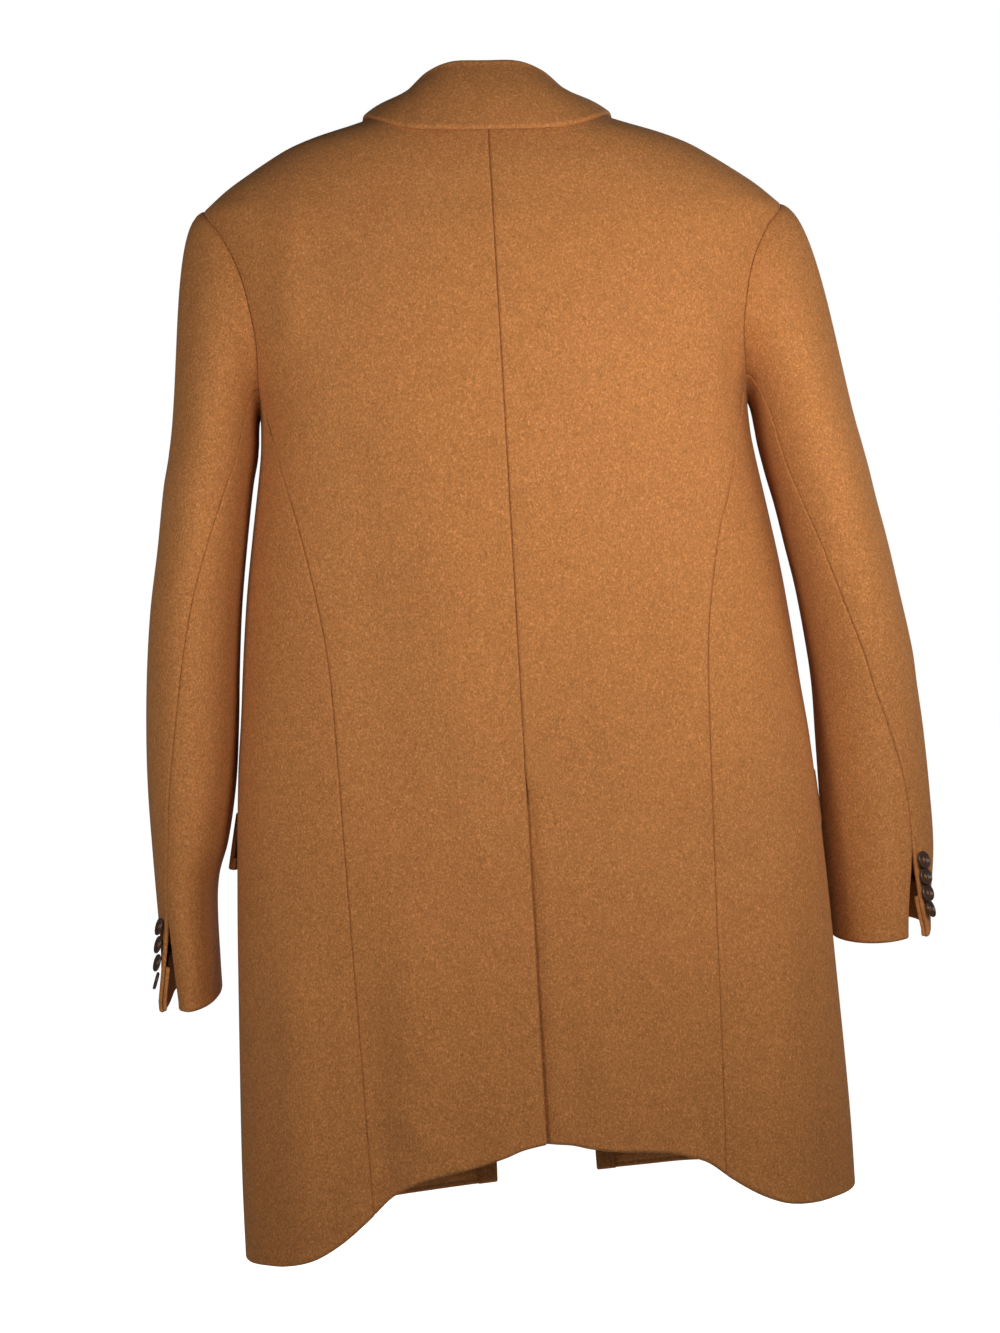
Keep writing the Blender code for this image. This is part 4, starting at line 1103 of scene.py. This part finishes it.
def make_front(side):
    cut = Cut(front_surface(side), AHEAD, TURNED, SEAM, HEM, SEAM, (40,), (120, 46), 2)
    sew_wool("front_" + side_name(side), [cut.lay(body_relief)], AHEAD)


def make_lapel(side):
    edge = Edge(radius=1.6, quarters=2, allowance=10)
    outside = (0, 3000, -300)
    cut = Cut(lapel_surface(side), outside, edge, edge, RAW, edge, (22,), (70,))
    name = side_name(side)
    sew_wool("lapel_" + name, [cut.lay()], outside)


def make_collar():
    edge = Edge(radius=1.7, quarters=2, allowance=24)
    end = Edge(radius=1.7, quarters=2, allowance=8)
    cut = Cut(collar_surface, (0, -3000, 6000), end, end, RAW, edge, (150,), (9, 6, 22), 3)
    sew_wool("collar", [cut.lay()], (0, -3000, 500))


# ---- Sleeves ----

def sleeve_outside(side, half):
    return (3000 if (side == "right") == (half == "top") else -3000), 0, -450


def make_sleeve(side, half):
    outside = sleeve_outside(side, half)
    counts = (64,) if half == "top" else (40,)
    cut = Cut(sleeve_surface(side, half), outside, SEAM, SEAM, CUFF, ARMHOLE, counts, (96, 34), 2)
    sew_wool(half + "_sleeve_" + side, [cut.lay()], outside)


def make_flap(side):
    edge = Edge(radius=1.2, quarters=2, allowance=8)
    outside = (3000 * side, 1500, -600)
    cut = Cut(flap_surface(side), outside, edge, edge, edge, SEAM, (36,), (12,))
    name = side_name(side)
    sew_wool("flap_" + name, [cut.lay()], outside, FLAP_CLOTH)


# ---- Lining ----

LINING_SINK = 5.4
LINING_SHORT = 26.0
LINING_SEAM = Edge(radius=0.6, quarters=1, allowance=0.6, gap=0.05)
SLEEVE_LINING_SINK = 4.8
SLEEVE_LINING_SHORT = 92.0  # the sleeve's lining ends above the cuff's vent
FACING_SINK = 4.2
FACING_WIDTH = 88.0
FACING_INSET = 1.5
FACING_CLOTH = 0.7  # share of the cloth thickness


def make_lining(name, surface, outside, counts, along, low=LINING_SEAM, sink=LINING_SINK, knots=(),
                short=LINING_SHORT):
    cut = Cut(surface, outside, low, LINING_SEAM, Edge(gap=short), Edge(gap=2.0), counts, along, len(along),
              knots)
    thickness = bpy.context.scene.overcoat.lining_thickness
    sew("lining_" + name, [cut.lay(fold_rise, sink=sink)], outside, thickness, finish("lining"))


def make_linings():
    for side in (-1, 1):
        word = side_name(side)
        make_lining("back_" + word, back_surface(side), BEHIND, (16, 20), (60, 24), knots=(NECK_SHARE,))
        make_lining("side_" + word, side_surface(side), beside(side), (30,), (70,))
        make_lining("front_" + word, front_surface(side), AHEAD, (24,), (60, 24), Edge(gap=FACING_WIDTH))
    for side in ("left", "right"):
        for half, counts in (("top", (40,)), ("under", (24,))):
            make_lining(half + "_sleeve_" + side, sleeve_surface(side, half), sleeve_outside(side, half),
                        counts, (50, 20), sink=SLEEVE_LINING_SINK, short=SLEEVE_LINING_SHORT)


def make_facing(side):
    """The wool facing behind the front edge, from hem to shoulder."""
    cut = Cut(front_surface(side), AHEAD, Edge(gap=FACING_INSET), RAW, Edge(gap=4.0), Edge(gap=2.0),
              (30,), (80, 24), 2)
    keep = np.array([(0.0, FACING_INSET + (FACING_WIDTH + 4) * i / 18) for i in range(19)])
    thickness = bpy.context.scene.overcoat.cloth_thickness * FACING_CLOTH
    grid = cut.lay(fold_rise, sink=FACING_SINK, columns=keep)
    sew("facing_" + side_name(side), [grid], AHEAD, thickness, finish("wool"))


# ---- Buttons ----

BUTTON_PROFILE = (
    (0.0, 0.30), (0.34, 0.30), (0.62, 0.36), (0.72, 0.62), (0.80, 0.90), (0.88, 1.0), (0.95, 0.92),
    (1.0, 0.62), (0.97, 0.30), (0.86, 0.06), (0.70, 0.0), (0.0, 0.0),
)
THREAD_TURNS = (45, 135)
THREAD_RADIUS = 0.07  # share of the button's radius


def button_frame(node_name):
    """Middle, facing and size of a button, read from its node."""
    co = np.array([v.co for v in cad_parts[node_name].data.vertices])
    spread = co - co.mean(0)
    axes = np.linalg.svd(spread, full_matrices=False)[2]
    facing = axes[2]
    radius = max(np.abs(spread @ axes[0]).max(), np.abs(spread @ axes[1]).max())
    reach = spread @ facing
    thickness = reach.max() - reach.min()
    middle = co.mean(0) + facing * (reach.max() + reach.min()) / 2
    return Vector(middle), Vector(facing), radius, thickness


def make_button(node_name, outwards):
    middle, facing, radius, thickness = button_frame(node_name)
    if facing.dot(outwards) < 0:
        facing = -facing
    work = bmesh.new()
    verts = [work.verts.new((r * radius, 0, (h - 0.5) * thickness)) for r, h in BUTTON_PROFILE]
    edges = [work.edges.new(pair) for pair in zip(verts, verts[1:])]
    bmesh.ops.spin(work, geom=verts + edges, cent=(0, 0, 0), axis=(0, 0, 1), angle=2 * math.pi, steps=32,
                   use_merge=True)
    bmesh.ops.remove_doubles(work, verts=work.verts, dist=0.00001)
    bmesh.ops.recalc_face_normals(work, faces=work.faces)
    for face in work.faces:
        face.smooth = True
    turned = Vector((0, 0, 1)).rotation_difference(facing).to_matrix().to_4x4()
    place = Matrix.Translation(middle) @ turned
    bmesh.ops.transform(work, matrix=place, verts=work.verts)
    declare(add_piece(node_name + "_horn", work, finish("horn")), [node_name])
    make_button_thread(node_name + "_thread", place, radius, thickness)


def make_button_thread(name, place, radius, thickness):
    """Thread that crosses between the four holes."""
    work = bmesh.new()
    thick = radius * THREAD_RADIUS
    for turn in THREAD_TURNS:
        made = bmesh.ops.create_cone(work, cap_ends=True, segments=8, radius1=thick, radius2=thick,
                                     depth=radius * 0.5)["verts"]
        lay = Matrix.Rotation(math.radians(turn), 4, "Z") @ Matrix.Rotation(math.pi / 2, 4, "Y")
        bmesh.ops.transform(work, matrix=Matrix.Translation((0, 0, -0.16 * thickness)) @ lay, verts=made)
    bmesh.ops.transform(work, matrix=place, verts=work.verts)
    declare(add_piece(name, work, finish("wool_thread")))


def make_buttons():
    for side, sign in (("left", -1), ("right", 1)):
        for i in range(4):
            make_button(f"cuff_button_{side}_{i + 1}", Vector((sign, -0.6, 0.2)))
    for i in range(3):
        make_button(f"front_button_{i + 1}", Vector((0, 1, 0)))


# ---- Stage ----

CAMERA_PLACE = (-0.0156, -3.0, -0.4713)
CAMERA_ROLL = math.radians(3.3)
CAMERA_LENS = 96.45
WARM = (1.0, 0.95, 0.88)


def area_light(name, place, target, size, power, colour=(1.0, 1.0, 1.0)):
    data = bpy.data.lights.new(name, "AREA")
    data.shape = "DISK"
    data.size = size
    data.energy = power
    data.color = colour
    lamp = bpy.data.objects.new(name, data)
    bpy.context.scene.collection.objects.link(lamp)
    lamp.location = place
    lamp.rotation_mode = "QUATERNION"
    lamp.rotation_quaternion = (Vector(target) - Vector(place)).to_track_quat("-Z", "Y")
    lamp.visible_camera = False


def make_stage():
    scene = bpy.context.scene
    scene.view_settings.view_transform = "Standard"
    scene.view_settings.look = "None"
    paint, tree, shader = new_finish("pale_floor")
    shader.inputs["Base Color"].default_value = (0.93, 0.93, 0.93, 1.0)
    shader.inputs["Roughness"].default_value = 0.9
    shader.inputs["Emission Color"].default_value = (1.0, 1.0, 1.0, 1.0)
    seen = node(tree, "ShaderNodeLightPath").outputs["Is Camera Ray"]
    link(tree, remap(tree, seen, 0.0, 1.0), shader.inputs["Emission Strength"])
    work = bmesh.new()
    bmesh.ops.create_grid(work, x_segments=1, y_segments=1, size=30)
    bmesh.ops.translate(work, verts=work.verts, vec=(0, 0, scene.overcoat.floor_height))
    add_piece("floor", work, paint)

    world = bpy.data.worlds.new("studio")
    scene.world = world
    world.use_nodes = True
    tree = world.node_tree
    background = tree.nodes["Background"]
    background.inputs["Color"].default_value = (1.0, 1.0, 1.0, 1.0)
    seen = node(tree, "ShaderNodeLightPath").outputs["Is Camera Ray"]
    link(tree, remap(tree, seen, 0.0, 1.0, 0.04, 1.0), background.inputs["Strength"])

    area_light("middle", (0.35, -0.70, -0.20), (0.175, 0, -0.24), 0.4, 3.4, WARM)
    area_light("left", (-0.60, -0.90, -0.30), (-0.30, 0, -0.34), 0.5, 4.5, WARM)
    area_light("right", (0.95, -0.45, -0.30), (0.475, 0, -0.34), 0.5, 2.4, WARM)
    area_light("front", (0.6, 2.6, 0.4), (0, 0, -0.5), 1.6, 26.0)

    lens = bpy.data.cameras.new("camera")
    lens.sensor_width = 36.0
    lens.sensor_height = 36.0
    lens.lens = CAMERA_LENS
    camera = bpy.data.objects.new("camera", lens)
    scene.collection.objects.link(camera)
    right = Vector((math.cos(CAMERA_ROLL), 0, -math.sin(CAMERA_ROLL)))
    up = Vector((math.sin(CAMERA_ROLL), 0, math.cos(CAMERA_ROLL)))
    turned = Matrix((right, up, right.cross(up))).transposed().to_4x4()
    camera.matrix_world = Matrix.Translation(CAMERA_PLACE) @ turned
    scene.camera = camera


# ---- Operators and panel ----

class PieceOperator:
    bl_options = {"REGISTER", "UNDO"}


class OVERCOAT_OT_backs(PieceOperator, bpy.types.Operator):
    """Cut and sew both halves of the back, with the centre vent"""

    bl_idname = "overcoat.backs"
    bl_label = "Back"

    def execute(self, context):
        for side in (-1, 1):
            make_back(side)
        return {"FINISHED"}


class OVERCOAT_OT_sides(PieceOperator, bpy.types.Operator):
    """Cut and sew both side bodies"""

    bl_idname = "overcoat.sides"
    bl_label = "Sides"

    def execute(self, context):
        for side in (-1, 1):
            make_side(side)
        return {"FINISHED"}


class OVERCOAT_OT_fronts(PieceOperator, bpy.types.Operator):
    """Cut and sew both fronts with their facings, lapels and pocket flaps"""

    bl_idname = "overcoat.fronts"
    bl_label = "Fronts"

    def execute(self, context):
        for side in (-1, 1):
            make_front(side)
            make_facing(side)
            make_lapel(side)
            make_flap(side)
        return {"FINISHED"}


class OVERCOAT_OT_collar(PieceOperator, bpy.types.Operator):
    """Cut and fold the collar"""

    bl_idname = "overcoat.collar"
    bl_label = "Collar"

    def execute(self, context):
        make_collar()
        return {"FINISHED"}


class OVERCOAT_OT_sleeves(PieceOperator, bpy.types.Operator):
    """Cut and sew the two-piece sleeves"""

    bl_idname = "overcoat.sleeves"
    bl_label = "Sleeves"

    def execute(self, context):
        for side in ("left", "right"):
            for half in ("top", "under"):
                make_sleeve(side, half)
        return {"FINISHED"}


class OVERCOAT_OT_lining(PieceOperator, bpy.types.Operator):
    """Line the body and the sleeves"""

    bl_idname = "overcoat.lining"
    bl_label = "Lining"

    def execute(self, context):
        make_linings()
        return {"FINISHED"}


class OVERCOAT_OT_buttons(PieceOperator, bpy.types.Operator):
    """Turn the horn buttons and sew them on"""

    bl_idname = "overcoat.buttons"
    bl_label = "Buttons"

    def execute(self, context):
        make_buttons()
        return {"FINISHED"}


class OVERCOAT_OT_stage(PieceOperator, bpy.types.Operator):
    """Set up the floor, the lights and the camera"""

    bl_idname = "overcoat.stage"
    bl_label = "Stage"

    def execute(self, context):
        make_stage()
        return {"FINISHED"}


OPERATORS = (
    OVERCOAT_OT_backs,
    OVERCOAT_OT_sides,
    OVERCOAT_OT_fronts,
    OVERCOAT_OT_collar,
    OVERCOAT_OT_sleeves,
    OVERCOAT_OT_lining,
    OVERCOAT_OT_buttons,
    OVERCOAT_OT_stage,
)


class OVERCOAT_PT_panel(bpy.types.Panel):
    """Sizes and colours of the overcoat, and a button for each of its pieces"""

    bl_idname = "OVERCOAT_PT_panel"
    bl_label = "Overcoat"
    bl_space_type = "VIEW_3D"
    bl_region_type = "UI"
    bl_category = "Overcoat"

    def draw(self, context):
        settings = context.scene.overcoat
        for name in settings.bl_rna.properties.keys():
            if name not in ("rna_type", "name"):
                self.layout.prop(settings, name)
        for operator in OPERATORS:
            self.layout.operator(operator.bl_idname)


CLASSES = (OvercoatSettings, *OPERATORS, OVERCOAT_PT_panel)


def register():
    for item in CLASSES:
        bpy.utils.register_class(item)
    bpy.types.Scene.overcoat = bpy.props.PointerProperty(type=OvercoatSettings)


def unregister():
    del bpy.types.Scene.overcoat
    for item in reversed(CLASSES):
        bpy.utils.unregister_class(item)


def main():
    register()
    for operator in OPERATORS:
        getattr(bpy.ops.overcoat, operator.bl_idname.split(".")[1])()


if __name__ == "__main__":
    main()
